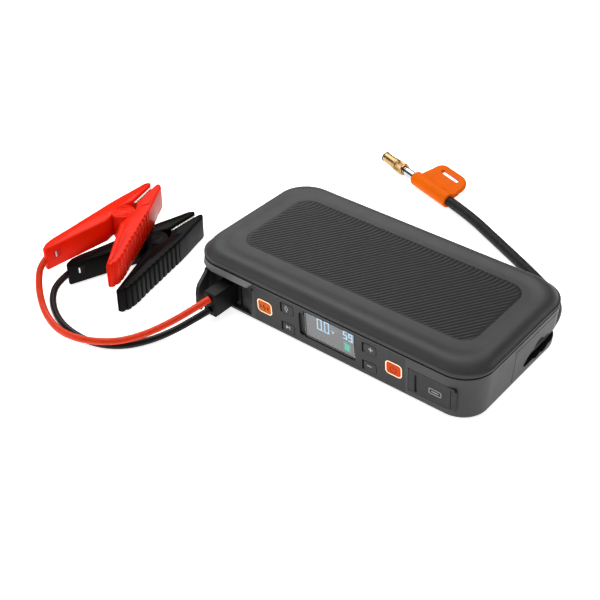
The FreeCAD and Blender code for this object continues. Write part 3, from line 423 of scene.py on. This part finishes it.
# Inset from the case's outline and rise over the seam, in mm: skirt and shadow line
SKIRT = ((2.2, 0.0), (0.3, 0.0), (0.0, 0.25), (0.0, 1.45), (0.3, 1.7), (0.75, 1.75), (1.0, 1.9))
CREST_INSET = 8.4 * MM
SHOULDER_STEPS = 14
SHOULDER_POWER = 2.7
# The shoulder is this much wider along the case's long sides than at its ends
LONG_SIDE_SHARE = 1.25
# How far across from the crest to the grip the dish's side is drawn, and where it reaches the floor
DISH_SHARES = (0.08, 0.2, 0.35, 0.5, 0.65, 0.8, 0.92, 1.0)
DISH_FOOT = 0.6
COVER_WALL = 4 * MM


def smooth_step(value):
    value = max(0.0, min(1.0, value))
    return value * value * (3 - 2 * value)


def top_cover():
    """The domed cover: skirt, shadow line, rising shoulder, crest and the dish's sloping sides."""
    steps = [(inset * MM, SEAM_Z + rise * MM) for inset, rise in SKIRT]
    start_inset, start_z = steps[-1]
    for k in range(1, SHOULDER_STEPS + 1):
        share = k / SHOULDER_STEPS
        rise = 1 - (1 - share) ** SHOULDER_POWER
        inset = start_inset + (CREST_INSET - start_inset) * share
        steps.append((inset, start_z + (TOP_Z - start_z) * rise))
    half_x, half_y = CASE_HALF
    rings = []
    for inset, z in steps:
        outline = rounded_outline(half_x - inset, half_y - inset * LONG_SIDE_SHARE, CORNER_R)
        rings.append([(x, y, z) for x, y in outline])
    crest = rings[-1]
    inner = rounded_outline(*GRIP_HALF, GRIP_R, GRIP_Y)
    drop = TOP_Z - GRIP_FLOOR
    for share in DISH_SHARES:
        z = TOP_Z - drop * smooth_step(share / DISH_FOOT)
        rings.append([(a[0] + (b[0] - a[0]) * share, a[1] + (b[1] - a[1]) * share, z)
                      for a, b in zip(crest, inner)])
    rings.append([(x, y, GRIP_FLOOR - 1.0 * MM) for x, y in inner])
    under = rounded_outline(half_x - COVER_WALL, half_y - COVER_WALL, CORNER_R - COVER_WALL)
    rings.append([(x, y, GRIP_FLOOR - 2.0 * MM) for x, y in inner])
    rings.append([(x, y, SEAM_Z + 1.6 * MM) for x, y in under])
    rings.append(rings[0])
    mesh = ring_mesh("top_cover", rings, capped=False, sharp=40)
    cover = add_piece("top_cover", mesh, "cover_grey", "case")
    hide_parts("top_shell")


# Ribs of the grip: straight and slanting, curling to run along Y at the back
RIB_PITCH = 3.66 * MM
RIB_SLOPE = 0.62
RIB_SHARPNESS = 1.3
CURL_Y = 26 * MM
CURL_LENGTH = 17.5 * MM
FLARE_Y = -32 * MM
FLARE = 37.5
COLUMNS_PER_RIB = 10
STATIONS = 64
EDGE_SAMPLES = 600
# The ribs rise to their full height over this distance from the grip's edge
FADE_START = 0.2 * MM
FADE_LENGTH = 2.6 * MM
# How far a rib leans along X over the grip, at most
RIB_LEAN = 34 * MM
GRIP_THICKNESS = 1.1 * MM


def rib_shift(y):
    """How far along X a rib has moved where it crosses y."""
    x = RIB_SLOPE * y
    if y > CURL_Y:
        x -= RIB_SLOPE * (y - CURL_Y) ** 2 / (2 * CURL_LENGTH)
    if y < FLARE_Y:
        x -= FLARE * (y - FLARE_Y) ** 2
    return x


def edge_distance(x, y):
    """How far a point lies inside the grip's rounded outline."""
    across = abs(x) - (GRIP_HALF[0] - GRIP_R)
    along = abs(y - GRIP_Y) - (GRIP_HALF[1] - GRIP_R)
    outside = math.hypot(max(across, 0), max(along, 0))
    return GRIP_R - outside - min(max(across, along), 0)


def ribbed_grip():
    """A fine skin whose columns follow the ribs; the ribs melt into the dish at their ends."""
    step = RIB_PITCH / COLUMNS_PER_RIB
    reach = int((GRIP_HALF[0] + RIB_LEAN) / step)
    points = []
    columns = []
    samples = [GRIP_Y - GRIP_HALF[1] + 2 * GRIP_HALF[1] * k / EDGE_SAMPLES
               for k in range(EDGE_SAMPLES + 1)]
    for index in range(-reach, reach + 1):
        start = index * step
        inside = [y for y in samples if edge_distance(start + rib_shift(y), y) >= 0]
        if len(inside) < 4:
            continue
        phase = (index % COLUMNS_PER_RIB) / COLUMNS_PER_RIB
        profile = (0.5 - 0.5 * math.cos(math.tau * phase)) ** RIB_SHARPNESS
        column = []
        for k in range(STATIONS):
            y = inside[0] + (inside[-1] - inside[0]) * k / (STATIONS - 1)
            x = start + rib_shift(y)
            fade = smooth_step((edge_distance(x, y) - FADE_START) / FADE_LENGTH)
            column.append(len(points))
            points.append((x, y, GRIP_FLOOR + RIB_HEIGHT * profile * fade))
        columns.append(column)
    faces = []
    for left, right in zip(columns, columns[1:]):
        for k in range(STATIONS - 1):
            faces.append((left[k], right[k], right[k + 1], left[k + 1]))
    rim = [c[0] for c in columns] + columns[-1][1:] + [c[-1] for c in reversed(columns[:-1])]
    rim += list(reversed(columns[0][1:-1]))
    low = len(points)
    points += [(points[k][0], points[k][1], GRIP_FLOOR - GRIP_THICKNESS) for k in rim]
    for k in range(len(rim)):
        after = (k + 1) % len(rim)
        faces.append((rim[after], rim[k], low + k, low + after))
    faces.append(tuple(reversed(range(low, low + len(rim)))))
    mesh = bpy.data.meshes.new("ribbed_grip")
    mesh.from_pydata(points, [], faces)
    finish_mesh(mesh, 60)
    # grip_grey paints shade into the valleys between the ribs
    grip = add_piece("ribbed_grip", mesh, "grip_grey", "case")
    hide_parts("grip_panel")


# ---------------------------------------------------------------- control panel
def join_boxes(name, boxes, depth):
    """Thin raised strokes: each box is x0, x1, z0, z1 in panel mm, or a list of corners."""
    work = bmesh.new()
    front, back = [value * MM for value in depth]
    for box in boxes:
        corners = box
        if not isinstance(box[0], tuple):
            x0, x1, z0, z1 = box
            corners = [(x0, z0), (x1, z0), (x1, z1), (x0, z1)]
        near = [work.verts.new((x * MM, front, z * MM)) for x, z in corners]
        far = [work.verts.new((x * MM, back, z * MM)) for x, z in corners]
        work.faces.new(near)
        work.faces.new(list(reversed(far)))
        for k in range(len(corners)):
            after = (k + 1) % len(corners)
            work.faces.new((near[after], near[k], far[k], far[after]))
    bmesh.ops.recalc_face_normals(work, faces=work.faces)
    mesh = bpy.data.meshes.new(name)
    work.to_mesh(mesh)
    work.free()
    return mesh


def ring_strokes(x, z, radius, width, gap=0.0, turn=90.0, steps=20):
    """Corner lists of a ring, open by gap degrees round the direction turn."""
    strokes = []
    span = 360.0 - gap
    for k in range(steps):
        angles = [math.radians(turn + gap / 2 + span * (k + d) / steps) for d in (0, 1)]
        corners = [(x + r * math.cos(a), z + r * math.sin(a))
                   for r, a in ((radius, angles[0]), (radius, angles[1]),
                                (radius - width, angles[1]), (radius - width, angles[0]))]
        strokes.append(corners)
    return strokes


SEGMENTS = {"5": "afgcd", "9": "abcdfg", "0": "abcdef"}


def digit_strokes(digit, x, z, width, height, stroke):
    """Seven-segment strokes of one digit, its lower left corner at x, z."""
    middle = z + height / 2
    half = stroke / 2
    boxes = {
        "a": (x, x + width, z + height - stroke, z + height),
        "b": (x + width - stroke, x + width, middle, z + height),
        "c": (x + width - stroke, x + width, z, middle),
        "d": (x, x + width, z, z + stroke),
        "e": (x, x + stroke, z, middle),
        "f": (x, x + stroke, middle, z + height),
        "g": (x, x + width, middle - half, middle + half),
    }
    return [boxes[segment] for segment in SEGMENTS[digit]]


def add_strokes(name, strokes, depth, material, body):
    add_piece(name, join_boxes(name, strokes, depth), material, body, PANEL_FRAME)


def make_display():
    """The display's lit figures: a 0.0 reading with its unit, the charge level and a battery."""
    behind = (2.0, 2.25)
    reading = digit_strokes("0", -6.1, 21.6, 4.4, 10.4, 0.9)
    reading += digit_strokes("0", 0.4, 21.6, 4.4, 10.4, 0.9)
    reading += [(-1.1, -0.3, 21.6, 22.4)]
    unit = [[(6.6, 26.8), (7.8, 23.8), (8.3, 23.8), (7.1, 26.8)],
            [(9.5, 26.8), (8.3, 23.8), (7.8, 23.8), (9.0, 26.8)]]
    level = digit_strokes("5", 17.2, 24.6, 3.5, 7.6, 1.0)
    level += digit_strokes("9", 21.8, 24.2, 3.6, 7.6, 1.0)
    add_strokes("display_figures", reading + unit + level, behind, "display_digit", "case")
    outline = [(17.0, 17.4, 13.4, 22.4), (23.3, 23.7, 13.4, 22.4),
               (17.4, 23.3, 13.4, 13.8), (17.4, 23.3, 22.0, 22.4)]
    add_strokes("display_battery", outline, behind, "display_faint", "case")
    add_strokes("display_charge", [(18.1, 22.6, 14.4, 20.9)], behind, "display_teal", "case")


def make_legends():
    """Small raised symbols on the keys: lamp, arrow, plus, minus, bolt and power."""
    small = {
        "light_key": ring_strokes(-32.6, 28.6, 1.5, 0.5)
        + [(-33.0, -32.2, 25.4, 26.6), (-33.6, -31.6, 30.8, 31.2)],
        "mode_key": [[(-34.0, 9.2), (-31.4, 10.9), (-34.0, 12.6)], (-31.0, -30.4, 9.2, 12.6)],
        "plus_key": [(40.2, 44.0, 27.9, 28.7), (41.7, 42.5, 26.4, 30.2)],
        "minus_key": [(39.0, 42.8, 11.6, 12.4)],
    }
    for body, strokes in small.items():
        add_strokes(body + "_symbol", strokes, (-0.3, 0.2), "legend", body)
    bolt = [[(-53.2, 24.0), (-55.6, 19.6), (-54.0, 19.6)],
            [(-54.4, 15.6), (-52.0, 20.0), (-53.6, 20.0)],
            [(-54.0, 19.4), (-55.4, 19.6), (-53.6, 20.2), (-52.2, 20.0)],
            (-58.0, -56.6, 18.4, 21.2), (-51.0, -49.6, 18.4, 21.2)]
    power = ring_strokes(61.4, 20.2, 2.9, 0.7, gap=70) + [(61.0, 61.8, 20.4, 23.6)]
    for body, strokes in (("boost_key", bolt), ("power_key", power)):
        add_strokes(body + "_symbol", strokes, (-0.66, -0.4), "legend_dark", body)
    port = [(90.5, 99.5, 19.0, 19.5), (90.5, 99.5, 14.6, 15.1), (90.0, 90.5, 15.1, 19.0),
            (99.5, 100.0, 15.1, 19.0), (92.2, 97.8, 16.7, 17.4)]
    add_strokes("flap_symbol", port, (-0.05, 0.3), "legend", "usb_cover")


# ---------------------------------------------------------------- jump socket and chuck
# Where the lip starts and ends along X, its lower and upper edge, and the slant of its end, in mm
LIP_SPAN = (-117.0, -64.6)
LIP_RISE = (30.7, 36.5)
LIP_SLANT = 5.2


def socket_lip():
    """The lip that runs round the case's corner over the jump socket, slanting at its end; its lighter grey is
    painted light.
    """
    half_x, half_y = CASE_HALF
    corner_x = -half_x + CORNER_R
    corner_y = -half_y + CORNER_R
    outline = rounded_outline(half_x, half_y, CORNER_R, steps=40)
    corner = [(x, y) for x, y in outline if y < 0 and LIP_SPAN[0] * MM < x < corner_x]
    path = corner + [(x * MM, -half_y) for x in range(-100, -69, 2)]
    path.append(((LIP_SPAN[1] - LIP_SLANT) * MM, -half_y))
    path.append((LIP_SPAN[1] * MM, -half_y))
    points = []
    for index, (x, y) in enumerate(path):
        centre = Vector((max(corner_x, x), y if x > corner_x else corner_y))
        outward = Vector((x, y)) - centre
        outward = outward.normalized() if outward.length > 1 * MM else Vector((0, -1))
        low = LIP_RISE[0] if index < len(path) - 1 else LIP_RISE[0] + LIP_SLANT
        section = ((-0.6, low), (0.75, low + 0.3), (0.1, LIP_RISE[1]), (-0.6, LIP_RISE[1]))
        for proud, z in section:
            points.append((x + outward.x * proud * MM, y + outward.y * proud * MM, z * MM))
    faces = []
    for k in range(len(path) - 1):
        for side in range(4):
            after = (side + 1) % 4
            faces.append((4 * k + side, 4 * k + after, 4 * k + 4 + after, 4 * k + 4 + side))
    last = len(points) - 4
    faces += [(3, 2, 1, 0), (last, last + 1, last + 2, last + 3)]
    # lip_grey is painted light: a lighter grey where the band catches light
    add_piece("socket_lip", skin_mesh("socket_lip", points, faces, 30), "lip_grey", "case")


NUT_AXIS = Vector(JOINTS["nut_spin"]["axis"])
NUT_TIP_REACH = 12.8
NUT_FRAME = (Matrix.Translation(Vector(JOINTS["nut_spin"]["pos_m"]) + NUT_AXIS * NUT_TIP_REACH * MM)
             @ Matrix.Rotation(math.atan2(NUT_AXIS.y, NUT_AXIS.x), 4, "Z"))
# Lengths back from the chuck's tip, in mm
NUT_BARREL = 14.5
STEM_END = NUT_BARREL + 15.4
# Number of the knurl's teeth, their depth in mm, and the radius they start from
KNURL_TEETH = 26
KNURL_DEPTH = 0.45
KNURL_ROOT = 5.0


def turned(name, profile, material, body, teeth=0):
    """A closed band turned round the chuck's axis: place along it and radius in mm."""
    count = max(48, teeth * 6)
    rings = []
    for along, radius in profile:
        ring = []
        for k in range(count):
            angle = math.tau * k / count
            wide = radius
            if teeth and radius > KNURL_ROOT:
                wide -= KNURL_DEPTH * (0.5 + 0.5 * math.cos(angle * teeth))
            ring.append((along * MM, wide * MM * math.cos(angle), wide * MM * math.sin(angle)))
        rings.append(ring)
    rings.append(rings[0])
    mesh = ring_mesh(name, rings, capped=False, sharp=30)
    add_piece(name, mesh, material, body, NUT_FRAME)


def dark_ring(name, back, front, inner, outer, body):
    """A plain band between two places along the chuck, in mm."""
    profile = [(back, inner), (back, outer), (front, outer), (front, inner)]
    turned(name, profile, "stem_shadow", body)


def make_chuck():
    back = -NUT_BARREL - 14.0
    front = -NUT_BARREL - 6.1
    knurl = [(back, 4.9), (back + 0.5, 5.55), (front - 0.5, 5.55), (front, 4.9)]
    turned("chuck_knurl", knurl, "nut_brass", "nut", teeth=KNURL_TEETH)
    dark_ring("chuck_neck_ring", -NUT_BARREL - 5.4, -NUT_BARREL - 4.6, 4.9, 5.25, "nut")
    dark_ring("chuck_rim", -1.2, -0.3, 4.3, 4.75, "nut")
    dark_ring("stem_ring", -STEM_END - 15.2, -STEM_END - 13.9, 3.7, 4.25, "case")
    dark_ring("stem_groove", -STEM_END - 2.6, -STEM_END - 1.6, 3.7, 4.0, "case")


# ---------------------------------------------------------------- clamps
CLAMP_T = 21 * MM
CLAMP_TURN = {"black": 0.0, "red": 15.0}
# How far the mouldings rise over each clamp's upper face: the red clamp swings over the black one
RELIEF = {"black": 0.14, "red": 0.5}
HANDLE_OUTLINE = in_metres([
    (2.2, 47.5), (4.6, 50.2), (8.2, 46.5), (11.8, 32.5), (15.4, 20.0), (18.6, 7.0), (21.6, -8.0),
    (24.6, -22.0), (27.6, -37.0), (31.4, -53.0), (32.2, -62.0), (30.0, -69.0), (26.6, -70.2),
    (16.4, -43.0), (6.2, -16.2), (6.2, 9.0), (2.2, 17.5),
])
# The finger grooves run between these points of the outline
GRIP_FROM = 5
GRIP_TO = 12
GRIP_PITCH = 6.2 * MM
GRIP_DEPTH = 1.3 * MM
# A handle's rim: mm in from its face, mm in from its outline, share of the grooves' depth there
HANDLE_RIM = ((0.0, 1.5, 0.25), (0.35, 0.8, 0.7), (0.9, 0.25, 1.0), (1.6, 0.0, 1.0))
CORD_SIDE_LOWER = 0.8 * MM
HUB_POINTS = 72


def resampled(points, step):
    """Points along a closed outline, at most step apart."""
    result = []
    for here, after in zip(points, points[1:] + points[:1]):
        run = Vector(after) - Vector(here)
        count = max(1, math.ceil(run.length / step))
        result += [tuple(Vector(here) + run * k / count) for k in range(count)]
    return result


def grip_depths(outline):
    """How deep each point of a handle's outline lies in the finger grooves of its outer side."""
    lengths = [0.0]
    for a, b in zip(HANDLE_OUTLINE, HANDLE_OUTLINE[1:]):
        lengths.append(lengths[-1] + math.dist(a, b))
    depths = []
    travelled = 0.0
    for here, after in zip(outline, outline[1:] + outline[:1]):
        along = travelled - lengths[GRIP_FROM]
        depth = 0.0
        if 0 < along < lengths[GRIP_TO] - lengths[GRIP_FROM]:
            phase = along / GRIP_PITCH % 1
            depth = GRIP_DEPTH * smooth_step((abs(phase - 0.5) - 0.27) / 0.16)
        depths.append(depth)
        travelled += math.dist(here, after)
    return depths


def clamp_frame(side):
    joint = JOINTS[side + "_clamp_open"]
    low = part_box(side + "_moving_handle")[0][2]
    place = (joint["pos_m"][0], joint["pos_m"][1], low)
    return Matrix.Translation(place) @ Matrix.Rotation(math.radians(CLAMP_TURN[side]), 4, "Z")


def handle_mesh(name, mirror, low, high, grooved):
    outline = resampled(rounded_corners(HANDLE_OUTLINE, 1.6 * MM), 0.5 * MM)
    depths = grip_depths(outline) if grooved else [0.0] * len(outline)
    levels = [(low + rise * MM, inset, share) for rise, inset, share in HANDLE_RIM]
    levels += [(high - rise * MM, inset, share) for rise, inset, share in reversed(HANDLE_RIM)]
    rings = []
    for z, inset, share in levels:
        ring = offset_outline(outline, -inset * MM)
        inner = offset_outline(outline, -inset * MM - GRIP_DEPTH)
        points = []
        for outer_point, inner_point, depth in zip(ring, inner, depths):
            blend = depth / GRIP_DEPTH * share
            x = outer_point[0] + (inner_point[0] - outer_point[0]) * blend
            y = outer_point[1] + (inner_point[1] - outer_point[1]) * blend
            points.append((mirror * x, y, z))
        rings.append(points)
    return ring_mesh(name, rings, sharp=38)


# Radius and height of the hub's concentric ridges over the clamp's upper face, from its rim inwards
HUB_PROFILE = ((9.6, -21.0), (9.6, -0.5), (9.1, 0.7), (8.3, 0.8), (7.8, -0.2), (7.2, -0.2),
               (6.7, 0.9), (5.9, 1.0), (5.4, -0.1), (4.8, -0.1), (4.3, 0.9), (3.4, 1.0),
               (2.9, 0.1), (0.6, 0.2))


def wall_plate(name, wall, spans, depth):
    """A small block on an upright wall: its span along the wall and in Z, and its depth, in mm."""
    along = (wall[1] - wall[0]).normalized()
    outward = Vector((along.y, -along.x, 0))
    along0, along1, z0, z1 = [value * MM for value in spans]
    work = bmesh.new()
    for level in depth:
        for run, rise in ((along0, z0), (along1, z0), (along1, z1), (along0, z1)):
            work.verts.new(wall[0] + along * run + outward * level * MM + Vector((0, 0, rise)))
    work.verts.ensure_lookup_table()
    sides = ((0, 1, 5, 4), (1, 2, 6, 5), (2, 3, 7, 6), (3, 0, 4, 7))
    for corners in ((0, 1, 2, 3), (4, 5, 6, 7)) + sides:
        work.faces.new([work.verts[k] for k in corners])
    bmesh.ops.recalc_face_normals(work, faces=work.faces)
    bmesh.ops.bevel(work, geom=work.edges[:], offset=0.12 * MM, segments=2, affect="EDGES")
    mesh = bpy.data.meshes.new(name)
    work.to_mesh(mesh)
    work.free()
    return finish_mesh(mesh)


# Mouldings on a clamp's upper face: outline, corner radius, foot, chamfer, all in mm
MOULDINGS = {
    "_channel": (((17.4, -23.0), (18.6, -23.6), (28.0, -59.6), (27.0, -60.4), (26.2, -59.6)),
                 0.5, 0.2, 0.05),
    "_rail": (((9.6, -16.5), (11.2, -16.0), (27.4, -63.6), (25.6, -64.6)), 0.6, 0.4, 0.1),
    "_nose": (((4.4, 43.0), (7.0, 42.4), (13.4, 18.4), (9.0, 13.4), (5.0, 20.0)), 0.8, 0.4, 0.1),
}
CHANNEL_RELIEF = 0.1


def make_clamp(side):
    place = clamp_frame(side)
    finish = "clamp_" + side
    relief = RELIEF[side]
    moving = side + "_clamp"
    handles = (("_grip_handle", 1, 0.0, moving, "_moving_handle"),
               ("_lead_handle", -1, CORD_SIDE_LOWER, "lead_set", "_cable_handle"))
    for label, mirror, low, body, node in handles:
        high = CLAMP_T - low
        mesh = handle_mesh(side + label, mirror, low, high, mirror > 0)
        piece = add_piece(side + label, mesh, finish, body, place)
        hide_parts(side + node)
    rings = []
    for radius, rise in HUB_PROFILE:
        z = CLAMP_T + (rise if rise < 0 else rise * relief) * MM
        angles = [math.tau * k / HUB_POINTS for k in range(HUB_POINTS)]
        rings.append([(radius * MM * math.cos(a), radius * MM * math.sin(a), z) for a in angles])
    add_piece(side + "_hub", ring_mesh("hub", rings, sharp=25), finish, moving, place)
    for label, (corners, radius, foot, chamfer) in MOULDINGS.items():
        shaded = label == "_channel"
        rise = CHANNEL_RELIEF if shaded else relief
        outline = rounded_corners(in_metres(corners), radius * MM)
        mesh = plate_mesh(label, outline, CLAMP_T - foot * MM, CLAMP_T + rise * MM, chamfer * MM)
        add_piece(side + label, mesh, finish + "_shade" if shaded else finish, moving, place)
    inner_wall = (Vector((-26.6, -70.2, 0)) * MM, Vector((-16.4, -43.0, 0)) * MM)
    plates = (("_window", (7.0, 13.5, 9.0, 16.0), (-0.05, 0.12), finish + "_shade"),
              ("_crimp", (8.4, 9.6, 10.2, 15.0), (0.0, 0.45), "pin_steel"))
    for label, spans, depth, material in plates:
        mesh = wall_plate(side + label, inner_wall, spans, depth)
        add_piece(side + label, mesh, material, "lead_set", place)


# ---------------------------------------------------------------- cords
HOSE_DIAMETER = 0.009
HOSE_ROUTE = [
    (0.1176, 0.0010, 0.0130), (0.1176, 0.0240, 0.0130), (0.1174, 0.0490, 0.0131),
    (0.1132, 0.0720, 0.0125), (0.1025, 0.0895, 0.0090), (0.0865, 0.1038, 0.0056),
    (0.0646, 0.1172, 0.0046), (0.0420, 0.1290, 0.0046), (0.0156, 0.1422, 0.0049),
    (-0.0126, 0.1550, 0.0065), (-0.0394, 0.1642, 0.0065),
]
LEAD_DIAMETER = 0.0053
RED_ROUTE = [
    (-0.0893, -0.0870, 0.0230), (-0.0923, -0.1010, 0.0205), (-0.0990, -0.1180, 0.0155),
    (-0.1070, -0.1340, 0.0112), (-0.1174, -0.1504, 0.0090), (-0.1305, -0.1614, 0.0086),
    (-0.1485, -0.1676, 0.0070), (-0.1686, -0.1670, 0.0046), (-0.1870, -0.1620, 0.0075),
    (-0.2000, -0.1550, 0.0140), (-0.2083, -0.1478, 0.0220), (-0.2132, -0.1402, 0.0288),
    (-0.2143, -0.1310, 0.0318),
]
BLACK_ROUTE = [
    (-0.0893, -0.0870, 0.0130), (-0.0954, -0.1014, 0.0080), (-0.1023, -0.1170, 0.0036),
    (-0.1090, -0.1345, 0.0028), (-0.1194, -0.1500, 0.0028), (-0.1355, -0.1594, 0.0028),
    (-0.1540, -0.1616, 0.0028), (-0.1741, -0.1586, 0.0028), (-0.1910, -0.1510, 0.0032),
    (-0.2030, -0.1416, 0.0054), (-0.2094, -0.1304, 0.0084), (-0.2100, -0.1175, 0.0104),
]


def cord_curve(name, route, diameter, material, body, node):
    curve = bpy.data.curves.new(name, "CURVE")
    curve.dimensions = "3D"
    curve.bevel_depth = diameter / 2
    curve.bevel_resolution = 8
    curve.resolution_u = 16
    curve.use_fill_caps = True
    spline = curve.splines.new("NURBS")
    spline.points.add(len(route) - 1)
    for point, place in zip(spline.points, route):
        point.co = (*place, 1)
    spline.order_u = 3
    spline.use_endpoint_u = True
    cord = add_piece(name, curve, material, body)
    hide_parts(node)
    return cord


def make_cords():
    hose = cord_curve("inflator_hose", HOSE_ROUTE, HOSE_DIAMETER, "hose_rubber", "case", "air_hose")
    red = cord_curve("red_jump_lead", RED_ROUTE, LEAD_DIAMETER, "lead_red", "lead_set", "red_lead")
    black = cord_curve("black_jump_lead", BLACK_ROUTE, LEAD_DIAMETER, "lead_black", "lead_set",
                       "black_lead")


# ---------------------------------------------------------------- studio
def area_light(name, at, size, energy, target=(0, 0, 0.02)):
    light = bpy.data.lights.new(name, "AREA")
    light.shape = "RECTANGLE"
    light.size, light.size_y = size
    light.energy = energy
    holder = put_in_scene(name, light)
    holder.location = at
    holder.rotation_euler = (Vector(target) - Vector(at)).to_track_quat("-Z", "Y").to_euler()


# Brightness of the room against the height looked at: dark round the horizon, lighter above
SKY = ((0.0, 0.3), (0.1, 0.02), (0.45, 0.03), (0.62, 0.5), (1.0, 0.62))
FLOOR_HALF = 12.0
FLOOR_Z = -0.0002


def make_world():
    """Lights the object by the sky's ramp, while the camera sees plain white."""
    world = bpy.data.worlds.new("studio")
    bpy.context.scene.world = world
    world.use_nodes = True
    tree = world.node_tree
    height = tree.nodes.new("ShaderNodeSeparateXYZ")
    looked_at = tree.nodes.new("ShaderNodeTexCoord").outputs["Generated"]
    tree.links.new(looked_at, height.inputs["Vector"])
    ramp = tree.nodes.new("ShaderNodeValToRGB")
    for position, level in SKY[1:-1]:
        ramp.color_ramp.elements.new(position)
    for element, (position, level) in zip(ramp.color_ramp.elements, SKY):
        element.color = (level, level, level, 1)
    tree.links.new(height.outputs["Z"], ramp.inputs["Fac"])
    seen = tree.nodes.new("ShaderNodeMix")
    seen.data_type = "RGBA"
    seen.inputs["B"].default_value = (1, 1, 1, 1)
    rays = tree.nodes.new("ShaderNodeLightPath")
    tree.links.new(rays.outputs["Is Camera Ray"], seen.inputs["Factor"])
    tree.links.new(ramp.outputs["Color"], seen.inputs["A"])
    tree.links.new(seen.outputs["Result"], tree.nodes["Background"].inputs["Color"])
    tree.nodes["Background"].inputs["Strength"].default_value = 1.0


def make_studio():
    make_world()
    area_light("overhead", (-0.6, 0.4, 0.95), (1.0, 1.0), 9.5)
    area_light("ceiling", (0.0, 0.3, 2.2), (2.6, 2.6), 18)
    area_light("front_left", (-1.0, -0.9, 0.35), (0.9, 0.4), 4)
    mesh = bpy.data.meshes.new("floor")
    turns = ((-1, -1), (1, -1), (1, 1), (-1, 1))
    mesh.from_pydata([(FLOOR_HALF * x, FLOOR_HALF * y, 0) for x, y in turns], [], [(0, 1, 2, 3)])
    floor = put_in_scene("floor", mesh)
    floor.location.z = FLOOR_Z
    surface = Surface("floor_paper", (0.92, 0.92, 0.92), 0.9, Specular_IOR_Level=0.1,
                      Emission_Color=(1, 1, 1, 1), Emission_Strength=0.8)
    floor.data.materials.append(surface.vary_colour(3, 0.004).material)
    bpy.context.scene.view_settings.view_transform = "Standard"


make_camera()
make_cords()
dress_cad_nodes()
top_cover()
ribbed_grip()
make_display()
make_legends()
socket_lip()
make_chuck()
for side in CLAMP_TURN:
    make_clamp(side)
make_studio()
